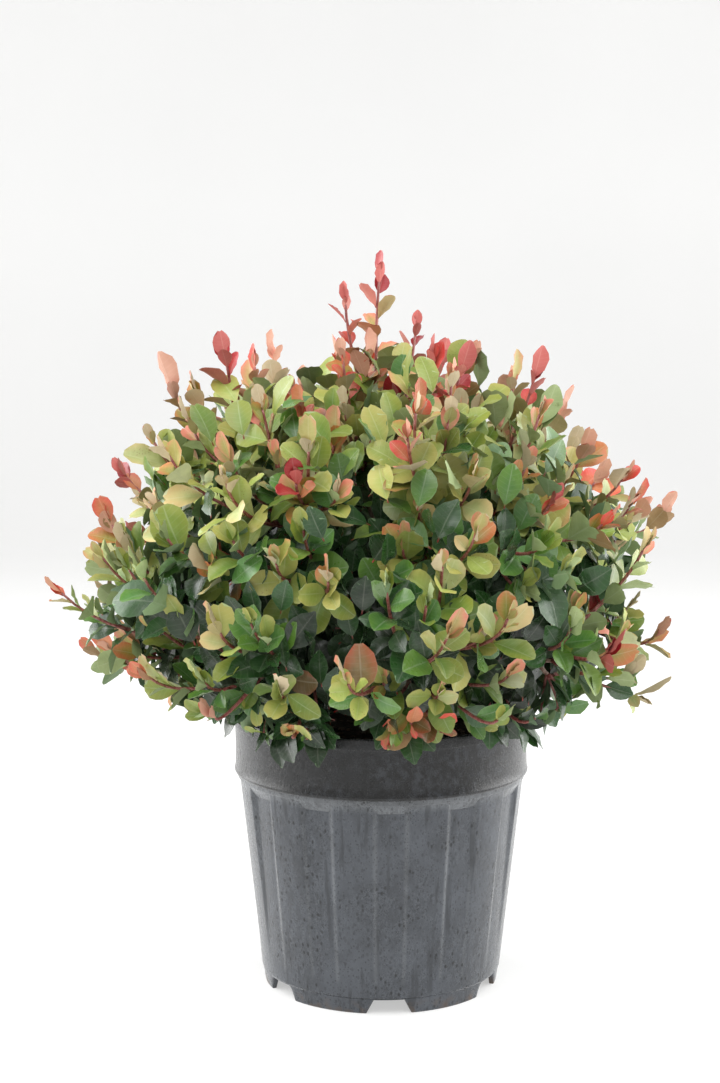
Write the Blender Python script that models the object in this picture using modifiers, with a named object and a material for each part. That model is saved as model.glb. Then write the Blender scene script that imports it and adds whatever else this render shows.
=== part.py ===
"""A young red robin photinia, a dense evergreen shrub with red young leaves, in a fluted nursery pot.

The plant stands on the pot's foot ring. A short stem rises from the soil and carries one bough for each
mass of foliage. The masses are one on top, an upper ring and a lower ring, and each keeps to the space
that lies nearer to its own heart than to any other. A mass is a core, a stem, shoots that grow from the
heart to the crown's outline, and leaves set round each shoot in a spiral.

Units are metres, +Z is up, the origin is the middle of the pot's underside, and the front faces -Y.
"""

import math
import random

import bmesh
import bpy
import numpy as np
from mathutils import Vector

OBJECT_NAME = "potted_photinia"
SEED = 41
GAP = 0.0003

# Pot
POT_HEIGHT = 0.2600
RIM_RADIUS = 0.1415
RIM_INNER_RADIUS = 0.1376
LIP_BOTTOM = 0.2500
COLLAR_RADIUS = 0.1400
COLLAR_BOTTOM = 0.2040
COLLAR_WALL = 0.0036
WALL_TOP = 0.1999
WALL_TOP_RADIUS = 0.1362
WALL_THICKNESS = 0.0058
FOOT_HEIGHT = 0.0150
FOOT_RADIUS = 0.1118
FOOT_STEP = 0.0015
FOOT_RING_WIDTH = 0.0042
FLOOR_UNDERSIDE = 0.0160
FLOOR_THICKNESS = 0.0030
POT_STEPS = 40
POT_ROUNDING = 0.0010
POT_EASE = 0.0006
LIP_FLARE = 0.0008
COLLAR_CHAMFER = 0.0020
COLLAR_STEP = 0.0012
LEDGE_THICKNESS = 0.0030
WELD = 0.00001

# Flutes and foot notches
FLUTES = 12
FLUTE_HALF_ANGLE = math.radians(6.3)
FLUTE_DEPTH = 0.0030
FLUTE_TOP = 0.1985
FLUTE_FADE = 0.0300
NOTCHES = 6
NOTCH_TOP_WIDTH = 0.0280
NOTCH_FOOT_WIDTH = 0.0420
NOTCH_HEIGHT = 0.0130
NOTCH_BELOW = 0.0050
CUTTER_MARGIN = 0.0200
FEATURE_TURN = math.radians(3.3)

# Soil
SOIL_MIDDLE = 0.2375
SOIL_EDGE = 0.2345
SOIL_FLAT_RADIUS = 0.0300
SOIL_SHOULDER = 0.2368
SOIL_SHOULDER_RADIUS = 0.1000
SOIL_CLEARANCE = 0.0004

# Stem
STEM_FLARE_RADIUS = 0.0170
STEM_SHOULDER_RADIUS = 0.0136
STEM_RADIUS = 0.0115
STEM_WAIST_RADIUS = 0.0110
STEM_FORK_RADIUS = 0.0125
STEM_SHOULDER_HEIGHT = 0.0048
STEM_FLARE_HEIGHT = 0.0160
STEM_WAIST = 0.2900
STEM_FORK = 0.3000
STEM_LEAN = Vector((0.0015, -0.0010, 0.0))
STEM_SIDES = 16
STEM_ROOTS = 4
STEM_ROOT_SWELL = 0.16
STEM_SHOULDER_SWELL = 0.10
STEM_SHARP_ANGLE = math.radians(40.0)

# Crown outline, a rounded box of revolution about the crown's heart
CROWN_HEART = Vector((0.0, 0.0, 0.360))
CROWN_HALF_WIDTH = 0.266
CROWN_RISE = 0.252
CROWN_DROP = 0.128
CROWN_SQUARENESS = 2.4
CROWN_REACH = (0.3050, 0.3000, 0.6980)
REACH_SLACK = 0.0001
OUTLINE_FAR = 0.6
OUTLINE_HALVINGS = 18

# The crown's skirt, which rises outwards from the pot's rim
SKIRT_RADIUS = 0.130
SKIRT_HEIGHT = 0.245
SKIRT_SLOPE = 0.45

# Foliage masses: (ring, how many, distance from the axis, height, first azimuth in degrees)
LOWER_RING_TURN = 10.0
MASS_RINGS = (
    ("top", 1, 0.0, 0.500, 0.0),
    ("upper", 5, 0.130, 0.460, 18.0),
    ("lower", 8, 0.180, 0.335, LOWER_RING_TURN),
)
MASS_MARGIN = 0.0010
CORE_SHARE_ACROSS = 0.87
CORE_SHARE_OUTWARD = 0.50
CORE_SPREAD = 0.125
CORE_FLOOR = 0.3000
CORE_ABOVE_TIP = 0.012
CORE_BEYOND_TIP = 0.008
CORE_FILL = 0.92
CORE_SUBDIVISIONS = 2
LEAST_FACING = 0.02

# Boughs: where each ring's limbs leave the stem, and where they enter their mass
LIMB_SIDES_RESOLUTION = 1
BOUGH_BEND_PARTS = 3
BOUGH_RADIUS = 0.0036
BOUGH_TIP_RADIUS = 0.0027
HEART_RADIUS = 0.0022
LOWER_BOUGH_RADIUS = 0.0040
LOWER_BOUGH_START = (0.2660, 0.2840)
LOWER_BOUGH_RUN = 0.030
LOWER_BOUGH_TIP = (0.070, 0.300)
UPPER_BOUGH_CIRCLE = 0.0082
UPPER_BOUGH_RISE = 0.045
UPPER_BOUGH_TIP = (0.050, 0.385)
TOP_BOUGH_RISE = 0.050
TOP_BOUGH_TIP = 0.405
BOUGH_SHARP_ANGLE = math.radians(50.0)
LIMB_CLEARANCE = 0.0035
LIMB_STRAIGHT = 0.006
MASS_STEM_BEND = 0.4
MASS_STEM_PARTS = 2
POT_CLEARANCE = 0.0025

# Shoots and leaves
SHOOTS = 94
SHOOT_SWEEP = 1.68
SHOOT_REACH = (0.94, 1.03)
SHOOT_ROOM = 0.006
SHOOT_DRAW_IN = 0.06
LOWEST_SHOOT = 0.236
LOWEST_LEAF = 0.234
SHOOT_RADIUS = 0.0029
SHOOT_TIP_RADIUS = 0.0019
SHOOT_PARTS = 2
SHOOT_SAG = 0.11
SHOOT_BARE_SHARE = 0.05
SHOOT_WAY_STEP = 0.03
CORE_EXIT_STEP = 0.05
CORE_EXIT_MOST = 0.9
LEADER_SPACING = math.radians(11.0)
LEAF_LENGTH = 0.071
LEAF_LENGTH_SPREAD = 0.008
LEAF_WIDTH_SHARE = 0.60
LEAF_WIDEST = 0.56
LEAF_FOLD_SHARE = 0.09
LEAF_ROOT_HALF_WIDTH = 0.0013
LEAF_ROOT_DEPTH = 0.0019
LEAF_FACE_ALONG = 0.7
LEAF_FACE_UPWARD = 0.5
LEAF_FACE_LEAST = 0.1
LEAF_RIB_SHARES = (0.4, 0.6, 0.8)
LEAF_EDGE_SHARES = (0.25, 0.5, 0.75)
LEAF_PITCH = 0.0200
LEAF_TURN = math.radians(137.5)
LEAF_TRIES = 9
LEAF_OUTREACH = 1.10
LEAVES_AT_TIP = 3
MOST_LEAVES = 5
LEAF_CROWDING = 1.2
HIGHEST_ROOT = 0.985
LEAF_SINK = 0.0010
END_LEAF_SHARE = 0.88
END_LEAF_SINK = 0.0040
LEAST_SPREAD = math.radians(50.0)
SPREAD_GAIN = math.radians(32.0)
SPREAD_CHANCE = math.radians(7.0)
TRY_SWING = math.radians(32.0)
TRY_SHORTENING = 0.04
LEAF_ROOM = 0.0045
LEAF_NUDGE = 0.00035
THINNEST_TRIANGLE = 0.000004
JOIN_TRIES = 8

# Tips of the young shoots that stand out of the crown's outline, left to right and then front and back
LEADER_TIPS = (
    (-0.3050, -0.090, 0.400),
    (-0.2960, 0.050, 0.322),
    (-0.2620, 0.060, 0.500),
    (-0.2050, -0.050, 0.602),
    (-0.1500, -0.030, 0.622),
    (-0.0350, -0.030, 0.667),
    (0.0000, 0.010, 0.698),
    (0.0360, 0.060, 0.643),
    (0.0800, -0.070, 0.612),
    (0.1500, -0.020, 0.608),
    (0.1900, 0.060, 0.570),
    (0.2350, -0.100, 0.490),
    (0.3050, 0.140, 0.460),
    (0.2680, -0.050, 0.285),
    (0.0600, -0.300, 0.400),
    (-0.0700, 0.300, 0.430),
    (0.0700, 0.170, 0.618),
    (-0.1100, 0.150, 0.626),
    (-0.2050, 0.215, 0.440),
    (0.1950, 0.220, 0.330),
)

# Plain colours, each with its roughness
POT_FINISH = ((0.090, 0.095, 0.100), 0.42)
SOIL_FINISH = ((0.030, 0.020, 0.013), 0.95)
STEM_FINISH = ((0.150, 0.085, 0.045), 0.80)
BOUGH_FINISH = ((0.190, 0.060, 0.040), 0.60)
TOP_FOLIAGE_FINISH = ((0.420, 0.130, 0.060), 0.45)
UPPER_FOLIAGE_FINISH = ((0.300, 0.330, 0.090), 0.45)
LOWER_FOLIAGE_FINISH = ((0.085, 0.140, 0.045), 0.40)


def clear_scene():
    """Empty the file of objects and of the data that they leave behind."""
    for old in list(bpy.data.objects):
        bpy.data.objects.remove(old, do_unlink=True)
    for group in list(bpy.data.collections):
        bpy.data.collections.remove(group)


def new_collection(name):
    group = bpy.data.collections.new(name)
    bpy.context.scene.collection.children.link(group)
    return group


def finish(name, colour, roughness):
    """A plain non-metal material."""
    material = bpy.data.materials.new(name)
    material.use_nodes = True
    shader = material.node_tree.nodes["Principled BSDF"]
    shader.inputs["Base Color"].default_value = (*colour, 1.0)
    shader.inputs["Roughness"].default_value = roughness
    shader.inputs["Metallic"].default_value = 0.0
    return material


def add_object(name, data, group, material=None):
    item = bpy.data.objects.new(name, data)
    group.objects.link(item)
    if material is not None:
        data.materials.append(material)
    return item


def mesh_from(name, points, faces):
    mesh = bpy.data.meshes.new(name)
    mesh.from_pydata([tuple(p) for p in points], [], faces)
    mesh.validate()
    return mesh


def turned_object(name, profile, group, material):
    """A solid of revolution: a profile of (radius, height) points at +X, turned about Z."""
    mesh = bpy.data.meshes.new(name)
    points = [(radius, 0.0, height) for radius, height in profile]
    edges = [(i, i + 1) for i in range(len(points) - 1)]
    mesh.from_pydata(points, edges, [])
    item = add_object(name, mesh, group, material)
    turning = item.modifiers.new("turning", "SCREW")
    turning.axis = "Z"
    turning.angle = 2.0 * math.pi
    turning.steps = POT_STEPS
    turning.render_steps = POT_STEPS
    turning.use_merge_vertices = True
    turning.merge_threshold = WELD
    turning.use_smooth_shade = True
    return item


def tapered_block(name, lower, upper, group):
    """A cutter with six flat sides. Each end is (inner x, outer x, half width, height)."""
    mesh = bpy.data.meshes.new(name)
    shape = bmesh.new()
    bmesh.ops.create_cube(shape, size=2.0)
    for corner in shape.verts:
        inner, outer, half_width, height = upper if corner.co.z > 0 else lower
        x = outer if corner.co.x > 0 else inner
        y = half_width if corner.co.y > 0 else -half_width
        corner.co = Vector((x, y, height))
    shape.to_mesh(mesh)
    shape.free()
    cutter = add_object(name, mesh, group)
    cutter.hide_render = True
    cutter.display_type = "WIRE"
    return cutter


def turned_about_axis(azimuth, radius=1.0, height=0.0):
    return Vector((radius * math.cos(azimuth), radius * math.sin(azimuth), height))


def wall_radius(height):
    """Outer radius of the tapering wall between the foot band and the collar."""
    share = (height - FOOT_HEIGHT) / (WALL_TOP - FOOT_HEIGHT)
    foot = FOOT_RADIUS + 2.0 * FOOT_STEP
    return foot + share * (WALL_TOP_RADIUS - foot)


def inner_wall():
    """The pot's inside as (radius, height) points, from the floor's edge up to the lip."""
    floor = FLOOR_UNDERSIDE + FLOOR_THICKNESS
    return [
        (wall_radius(floor) - WALL_THICKNESS, floor),
        (wall_radius(WALL_TOP) - WALL_THICKNESS, WALL_TOP - POT_ROUNDING),
        (COLLAR_RADIUS - COLLAR_WALL, COLLAR_BOTTOM + LEDGE_THICKNESS),
    ]


def build_pot(parts, cutters):
    """A turned bowl with a collar and rolled lip, cut by flutes round its wall and notches in its foot."""
    floor = FLOOR_UNDERSIDE + FLOOR_THICKNESS
    profile = [(0.0, floor)]
    profile += inner_wall()
    profile += [
        (RIM_INNER_RADIUS - LIP_FLARE, LIP_BOTTOM),
        (RIM_INNER_RADIUS, POT_HEIGHT - POT_ROUNDING),
        (RIM_INNER_RADIUS + POT_ROUNDING, POT_HEIGHT),
        (RIM_RADIUS - POT_ROUNDING, POT_HEIGHT),
        (RIM_RADIUS, POT_HEIGHT - POT_ROUNDING),
        (RIM_RADIUS, LIP_BOTTOM + POT_EASE),
        (COLLAR_RADIUS, LIP_BOTTOM - POT_EASE),
        (COLLAR_RADIUS, COLLAR_BOTTOM + COLLAR_CHAMFER),
        (COLLAR_RADIUS - COLLAR_STEP, COLLAR_BOTTOM - POT_ROUNDING),
        (WALL_TOP_RADIUS, WALL_TOP),
        (wall_radius(FOOT_HEIGHT), FOOT_HEIGHT),
        (FOOT_RADIUS + FOOT_STEP, FOOT_HEIGHT - POT_EASE),
        (FOOT_RADIUS, 0.0),
        (FOOT_RADIUS - FOOT_RING_WIDTH, 0.0),
        (FOOT_RADIUS - FOOT_RING_WIDTH - POT_EASE, FLOOR_UNDERSIDE),
        (0.0, FLOOR_UNDERSIDE),
    ]
    pot = turned_object("pot", profile, parts, finish("pot_plastic", *POT_FINISH))
    front = -0.5 * math.pi + FEATURE_TURN
    half_width = math.tan(FLUTE_HALF_ANGLE)
    top_radius = wall_radius(FLUTE_TOP)
    fade_radius = wall_radius(FLUTE_FADE)
    for i in range(FLUTES):
        cutter = tapered_block(
            f"flute_cutter_{i + 1}",
            (fade_radius, fade_radius + CUTTER_MARGIN, fade_radius * half_width, FLUTE_FADE),
            (top_radius - FLUTE_DEPTH, top_radius + CUTTER_MARGIN, top_radius * half_width, FLUTE_TOP),
            cutters,
        )
        cutter.rotation_euler.z = front + i * 2.0 * math.pi / FLUTES
    for i in range(NOTCHES):
        inner = FOOT_RADIUS - CUTTER_MARGIN
        outer = FOOT_RADIUS + CUTTER_MARGIN
        cutter = tapered_block(
            f"notch_cutter_{i + 1}",
            (inner, outer, 0.5 * NOTCH_FOOT_WIDTH, -NOTCH_BELOW),
            (inner, outer, 0.5 * NOTCH_TOP_WIDTH, NOTCH_HEIGHT),
            cutters,
        )
        cutter.rotation_euler.z = front + i * 2.0 * math.pi / NOTCHES
    cut = pot.modifiers.new("flutes_and_notches", "BOOLEAN")
    cut.operation = "DIFFERENCE"
    cut.operand_type = "COLLECTION"
    cut.collection = cutters
    cut.solver = "EXACT"


def build_soil(parts):
    """The root ball that fills the pot, clear of its inside, with a flat top where the stem stands."""
    inside = inner_wall()
    floor_radius, floor = inside[0]
    ledge_radius, ledge = inside[1]
    collar_radius, collar = inside[2]
    profile = [
        (0.0, SOIL_MIDDLE),
        (SOIL_FLAT_RADIUS, SOIL_MIDDLE),
        (SOIL_SHOULDER_RADIUS, SOIL_SHOULDER),
        (collar_radius - SOIL_CLEARANCE, SOIL_EDGE),
        (collar_radius - SOIL_CLEARANCE, collar + SOIL_CLEARANCE),
        (ledge_radius - SOIL_CLEARANCE, ledge + SOIL_CLEARANCE),
        (floor_radius - SOIL_CLEARANCE, floor + SOIL_CLEARANCE),
        (0.0, floor + SOIL_CLEARANCE),
    ]
    turned_object("soil", profile, parts, finish("peat", *SOIL_FINISH))


def stem_middle(height):
    """The stem's centre line, which leans a little from its foot."""
    foot = SOIL_MIDDLE + GAP
    share = (height - foot) / (STEM_FORK - foot)
    return Vector((0.0, 0.0, height)) + share * STEM_LEAN


def build_stem(parts):
    """The stem from its flat cut on the soil to its fork, a loft of rings with a flare of root swells."""
    foot = SOIL_MIDDLE + GAP
    levels = [
        (foot, STEM_FLARE_RADIUS, STEM_ROOT_SWELL),
        (foot + STEM_SHOULDER_HEIGHT, STEM_SHOULDER_RADIUS, STEM_SHOULDER_SWELL),
        (foot + STEM_FLARE_HEIGHT, STEM_RADIUS, 0.0),
        (STEM_WAIST, STEM_WAIST_RADIUS, 0.0),
        (STEM_FORK, STEM_FORK_RADIUS, 0.0),
    ]
    turn = math.radians(LOWER_RING_TURN) + math.pi / STEM_SIDES
    points = []
    for height, radius, swell in levels:
        middle = stem_middle(height)
        for k in range(STEM_SIDES):
            azimuth = turn + k * 2.0 * math.pi / STEM_SIDES
            lobe = 1.0 + swell * math.cos(STEM_ROOTS * azimuth)
            points.append(middle + turned_about_axis(azimuth, radius * lobe))
    faces = [tuple(reversed(range(STEM_SIDES)))]
    for i in range(len(levels) - 1):
        for k in range(STEM_SIDES):
            a = i * STEM_SIDES + k
            b = i * STEM_SIDES + (k + 1) % STEM_SIDES
            faces.append((a, b, b + STEM_SIDES, a + STEM_SIDES))
    last = (len(levels) - 1) * STEM_SIDES
    faces.append(tuple(range(last, last + STEM_SIDES)))
    mesh = mesh_from("stem", points, faces)
    mesh.shade_smooth()
    mesh.set_sharp_from_angle(angle=STEM_SHARP_ANGLE)
    add_object("stem", mesh, parts, finish("stem_bark", *STEM_FINISH))


def bezier(start, bend, end, share):
    """A point on the curve that leaves start towards bend and arrives at end from it."""
    return start * (1 - share) ** 2 + bend * (2 * share * (1 - share)) + end * share**2


class Mass:
    """One mass of foliage: its place, its bough's ends and the space that it keeps to."""

    def __init__(self, ring, index, count, distance, height, first):
        azimuth = math.radians(first) + index * 2.0 * math.pi / count
        self.ring = ring
        self.outward = turned_about_axis(azimuth)
        self.heart = turned_about_axis(azimuth, distance, height)
        self.name = ring if count == 1 else f"{ring}_{index + 1}"
        if ring == "top":
            self.bough_start = stem_middle(STEM_FORK) + Vector((0.0, 0.0, GAP))
            self.bough_bend = self.bough_start + Vector((0.0, 0.0, TOP_BOUGH_RISE))
            self.bough_end = Vector((0.0, 0.0, TOP_BOUGH_TIP))
            self.bough_radius = BOUGH_RADIUS
        elif ring == "upper":
            fork = stem_middle(STEM_FORK) + Vector((0.0, 0.0, GAP))
            self.bough_start = fork + turned_about_axis(azimuth, UPPER_BOUGH_CIRCLE)
            self.bough_bend = self.bough_start + Vector((0.0, 0.0, UPPER_BOUGH_RISE))
            self.bough_end = turned_about_axis(azimuth, *UPPER_BOUGH_TIP)
            self.bough_radius = BOUGH_RADIUS
        else:
            level = LOWER_BOUGH_START[index % 2]
            flat = STEM_RADIUS * math.cos(math.pi / STEM_SIDES) + GAP
            self.bough_start = stem_middle(level) + turned_about_axis(azimuth, flat)
            self.bough_bend = self.bough_start + turned_about_axis(azimuth, LOWER_BOUGH_RUN)
            self.bough_end = turned_about_axis(azimuth, *LOWER_BOUGH_TIP)
            self.bough_radius = LOWER_BOUGH_RADIUS
        last = self.bough_points()[-2:]
        self.entry = (last[1] - last[0]).normalized()

    def bough_points(self):
        """Square off the stem for a short way, so that its end lies flat on it, then in one bend."""
        away = (self.bough_bend - self.bough_start).normalized()
        straight = self.bough_start + LIMB_STRAIGHT * away
        return [self.bough_start] + [
            bezier(straight, self.bough_bend, self.bough_end, i / BOUGH_BEND_PARTS)
            for i in range(BOUGH_BEND_PARTS + 1)
        ]

    def stem_points(self):
        """From 0.3 mm past the bough's tip to the heart, leaving in line with the bough."""
        start = self.bough_end + GAP * self.entry
        straight = start + LIMB_STRAIGHT * self.entry
        bend = straight + MASS_STEM_BEND * (self.heart - straight).length * self.entry
        return [start] + [
            bezier(straight, bend, self.heart, i / MASS_STEM_PARTS)
            for i in range(MASS_STEM_PARTS + 1)
        ]

    def room(self, point, others):
        """How far inside its own space a point lies: the least distance to any shared border."""
        least = 1.0
        for other in others:
            if other is self:
                continue
            across = other.heart - self.heart
            half = 0.5 * across.length
            least = min(least, half - (point - self.heart).dot(across) / across.length)
        return least

    def borders(self, others):
        """Flat borders as (outward normal, distance from the heart)."""
        found = []
        for other in others:
            if other is self:
                continue
            across = other.heart - self.heart
            found.append((across.normalized(), 0.5 * across.length))
        return found

    def core_reach(self, direction, others):
        """How far the core runs from the heart in a direction, short of borders, outline and limbs."""
        reach = CORE_SPREAD
        for normal, distance in self.borders(others):
            facing = direction.dot(normal)
            if facing > LEAST_FACING:
                reach = min(reach, CORE_SHARE_ACROSS * distance / facing)
        reach = min(reach, CORE_SHARE_OUTWARD * outline_distance(self.heart, direction))
        limits = [(Vector((0.0, 0.0, -1.0)), self.heart.z - CORE_FLOOR)]
        if self.ring == "top":
            limits.append((Vector((0.0, 0.0, -1.0)), self.heart.z - TOP_BOUGH_TIP - CORE_ABOVE_TIP))
        else:
            inner = self.bough_end.xy.length + CORE_BEYOND_TIP
            limits.append((-self.outward, self.heart.xy.length - inner))
        for normal, distance in limits:
            facing = direction.dot(normal)
            if facing > LEAST_FACING:
                reach = min(reach, distance / facing)
        return reach


def outline_share(point):
    """1 on the crown's outline, less inside it, more outside."""
    away = point - CROWN_HEART
    rise = CROWN_RISE if away.z > 0 else CROWN_DROP
    flat = (away.xy.length / CROWN_HALF_WIDTH) ** CROWN_SQUARENESS
    tall = (abs(away.z) / rise) ** CROWN_SQUARENESS
    return (flat + tall) ** (1.0 / CROWN_SQUARENESS)


def outline_distance(start, direction):
    """Distance from a point inside the crown to its outline, by halving."""
    near = 0.0
    far = OUTLINE_FAR
    for _ in range(OUTLINE_HALVINGS):
        middle = 0.5 * (near + far)
        if outline_share(start + middle * direction) < 1.0:
            near = middle
        else:
            far = middle
    return near


def make_masses():
    masses = []
    for ring, count, distance, height, first in MASS_RINGS:
        for index in range(count):
            masses.append(Mass(ring, index, count, distance, height, first))
    return masses


def limb_segments(masses):
    """Every limb as short straight runs with a radius, for leaves to keep clear of."""
    runs = [(stem_middle(SOIL_MIDDLE), stem_middle(STEM_FORK), STEM_FLARE_RADIUS)]
    for mass in masses:
        points = mass.bough_points()
        for a, b in zip(points, points[1:]):
            runs.append((a, b, mass.bough_radius))
    return runs


def near_limb(point, runs):
    for a, b, radius in runs:
        along = b - a
        share = max(0.0, min(1.0, (point - a).dot(along) / along.length_squared))
        if (point - a - share * along).length < radius + LIMB_CLEARANCE:
            return True
    return False


def in_pot(point):
    """True within the pot, its rim and the soil, with a little room to spare."""
    return point.xy.length < RIM_RADIUS + POT_CLEARANCE and point.z < POT_HEIGHT + POT_CLEARANCE


def skirt_height(point):
    """The least height of a shoot's tip at a point's distance from the axis."""
    return SKIRT_HEIGHT + SKIRT_SLOPE * (point.xy.length - SKIRT_RADIUS)


def shoot_targets(masses):
    """Tips of all shoots: the leaders, then points spread evenly over the outline between them."""
    chance = random.Random(SEED)
    leaders = [Vector(tip) for tip in LEADER_TIPS]
    leader_ways = [(tip - CROWN_HEART).normalized() for tip in leaders]
    targets = [(tip, True) for tip in leaders]
    for i in range(SHOOTS):
        height = 1.0 - (i + 0.5) * SHOOT_SWEEP / SHOOTS
        around = i * math.pi * (3.0 - math.sqrt(5.0))
        flat = math.sqrt(max(0.0, 1.0 - height * height))
        way = Vector((flat * math.cos(around), flat * math.sin(around), height))
        if any(way.angle(other) < LEADER_SPACING for other in leader_ways):
            continue
        tip = CROWN_HEART + way * outline_distance(CROWN_HEART, way) * chance.uniform(*SHOOT_REACH)
        if tip.z < LOWEST_SHOOT or in_pot(tip):
            continue
        tip.z = max(tip.z, skirt_height(tip))
        targets.append((tip, False))
    shared = {mass.name: [] for mass in masses}
    for tip, leads in targets:
        owner = min(masses, key=lambda mass: (tip - mass.heart).length)
        while owner.room(tip, masses) < SHOOT_ROOM and not leads:
            tip = tip.lerp(owner.heart, SHOOT_DRAW_IN)
        shared[owner.name].append((tip, leads))
    return shared


def leaf_frame(along, spread, around, up):
    """Leaf axes: its length tips away from the shoot by spread, and its face looks up the shoot."""
    side = along.orthogonal().normalized()
    other = along.cross(side)
    outward = side * math.cos(around) + other * math.sin(around)
    length = along * math.cos(spread) + outward * math.sin(spread)
    face = along * LEAF_FACE_ALONG + up * LEAF_FACE_UPWARD
    face = face - length * face.dot(length)
    if face.length < LEAF_FACE_LEAST:
        face = length.orthogonal()
    face.normalize()
    return length, face


def leaf_points(root, length_way, face, size):
    """A keeled blade of six points: a small three-cornered root, two shoulders and a tip."""
    across = face.cross(length_way)
    half_width = 0.5 * LEAF_WIDTH_SHARE * size
    fold = LEAF_FOLD_SHARE * size
    shoulder = root + length_way * LEAF_WIDEST * size + face * fold
    return [
        root - across * LEAF_ROOT_HALF_WIDTH,
        root + across * LEAF_ROOT_HALF_WIDTH,
        root - face * LEAF_ROOT_DEPTH,
        shoulder - across * half_width,
        shoulder + across * half_width,
        root + length_way * size,
    ]


LEAF_FACES = [
    (1, 2, 0),
    (5, 1, 0),
    (5, 4, 1),
    (3, 5, 0),
    (3, 0, 2),
    (5, 3, 2),
    (4, 5, 2),
    (1, 4, 2),
]


def sample_leaf(points):
    """The leaf's corners and points between them, close enough together for the clearance tests."""
    found = list(points)
    for a, b in ((2, 3), (2, 4), (2, 5)):
        for share in LEAF_RIB_SHARES:
            found.append(points[a].lerp(points[b], share))
    for a, b in ((3, 5), (4, 5), (3, 4)):
        for share in LEAF_EDGE_SHARES:
            found.append(points[a].lerp(points[b], share))
    return found


class Growth:
    """Grows one mass: keeps its space, its limbs' clearance and the leaves already set."""

    def __init__(self, mass, masses, runs):
        self.mass = mass
        self.masses = masses
        self.runs = runs
        self.leaf_samples = np.zeros((0, 3))

    def fits(self, points, leads):
        for point in points:
            if self.mass.room(point, self.masses) < MASS_MARGIN:
                return False
            if in_pot(point) or point.z < LOWEST_LEAF:
                return False
            beyond = (abs(point.x), abs(point.y), point.z)
            if any(size > most + REACH_SLACK for size, most in zip(beyond, CROWN_REACH)):
                return False
            if not leads and outline_share(point) > LEAF_OUTREACH:
                return False
            if near_limb(point, self.runs):
                return False
        return True

    def in_core(self, point):
        away = point - self.mass.heart
        return away.length < CORE_FILL * self.mass.core_reach(away.normalized(), self.masses)

    def leaf_fits(self, points, leads):
        """Adds the leaf to those already set when it has room of its own, and says whether it has."""
        middle = points[3].lerp(points[4], 0.5)
        if self.in_core(middle) or self.in_core(points[5]):
            return False
        samples = sample_leaf(points)
        blade = np.array([tuple(point) for point in samples[3:]])
        if len(self.leaf_samples):
            apart = np.linalg.norm(blade[:, None, :] - self.leaf_samples[None, :, :], axis=2)
            if apart.min() < LEAF_ROOM:
                return False
        if not self.fits(samples, leads):
            return False
        self.leaf_samples = np.vstack([self.leaf_samples, blade])
        return True


def leaf_size(chance):
    return LEAF_LENGTH + chance.uniform(-1.0, 1.0) * LEAF_LENGTH_SPREAD


def set_spiral(growth, stalk, chance, leaves):
    """Leaves round one shoot, a fixed turn apart, from its tip down to where it leaves the core."""
    start, bend, end, leads = stalk
    up = Vector((0.0, 0.0, 1.0))
    inside = 0.0
    while inside < CORE_EXIT_MOST and growth.in_core(bezier(start, bend, end, inside)):
        inside += CORE_EXIT_STEP
    run = (end - bezier(start, bend, end, inside)).length
    count = min(MOST_LEAVES, LEAVES_AT_TIP + round(run / LEAF_PITCH))
    around = chance.uniform(0.0, 2.0 * math.pi)
    for k in range(count):
        share = 1.0 - (1.0 - inside - SHOOT_BARE_SHARE) * (k / count) ** LEAF_CROWDING
        share = min(share, HIGHEST_ROOT)
        root = bezier(start, bend, end, share)
        after = bezier(start, bend, end, min(1.0, share + SHOOT_WAY_STEP))
        before = bezier(start, bend, end, share - SHOOT_WAY_STEP)
        along = (after - before).normalized()
        around += LEAF_TURN
        spread = LEAST_SPREAD + SPREAD_GAIN * k / count + chance.uniform(-1.0, 1.0) * SPREAD_CHANCE
        size = leaf_size(chance)
        for attempt in range(LEAF_TRIES):
            swing = (attempt + 1) // 2 * (1 if attempt % 2 else -1) * TRY_SWING
            length_way, face = leaf_frame(along, spread, around + swing, up)
            reach = size * (1.0 - TRY_SHORTENING * attempt)
            blade = leaf_points(root - length_way * LEAF_SINK, length_way, face, reach)
            if growth.leaf_fits(blade, leads):
                leaves.append(blade)
                break


def grow_mass(mass, masses, runs, tips):
    """The shoots of one mass as lists of points, its leaves as lists of corners, and its end leaves' count.

    Each shoot ends in a leaf whose tip is the shoot's target, and these are set first, so that the crown
    reaches its outline. The leaves round the shoots then take the room that is left.
    """
    chance = random.Random(f"{SEED} {mass.name}")
    growth = Growth(mass, masses, runs)
    up = Vector((0.0, 0.0, 1.0))
    shoots = []
    leaves = []
    stalks = []
    for tip, leads in tips:
        span = tip - mass.heart
        size = leaf_size(chance) * END_LEAF_SHARE
        sag = SHOOT_SAG * span.length * (1.0 - abs(span.normalized().z))
        bend = mass.heart + 0.5 * span - sag * up
        way = (tip - bend).normalized()
        end = tip - way * (size - END_LEAF_SINK)
        points = [bezier(mass.heart, bend, end, i / SHOOT_PARTS) for i in range(SHOOT_PARTS + 1)]
        if not growth.fits(points, leads):
            continue
        shoots.append(points)
        stalks.append((mass.heart, bend, end, leads))
        length_way, face = leaf_frame(way, 0.0, 0.0, up)
        blade = leaf_points(end - way * END_LEAF_SINK, length_way, face, size)
        if growth.leaf_fits(blade, leads):
            leaves.append(blade)
    ends = len(leaves)
    for stalk in stalks:
        set_spiral(growth, stalk, chance, leaves)
    return shoots, leaves, ends


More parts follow.
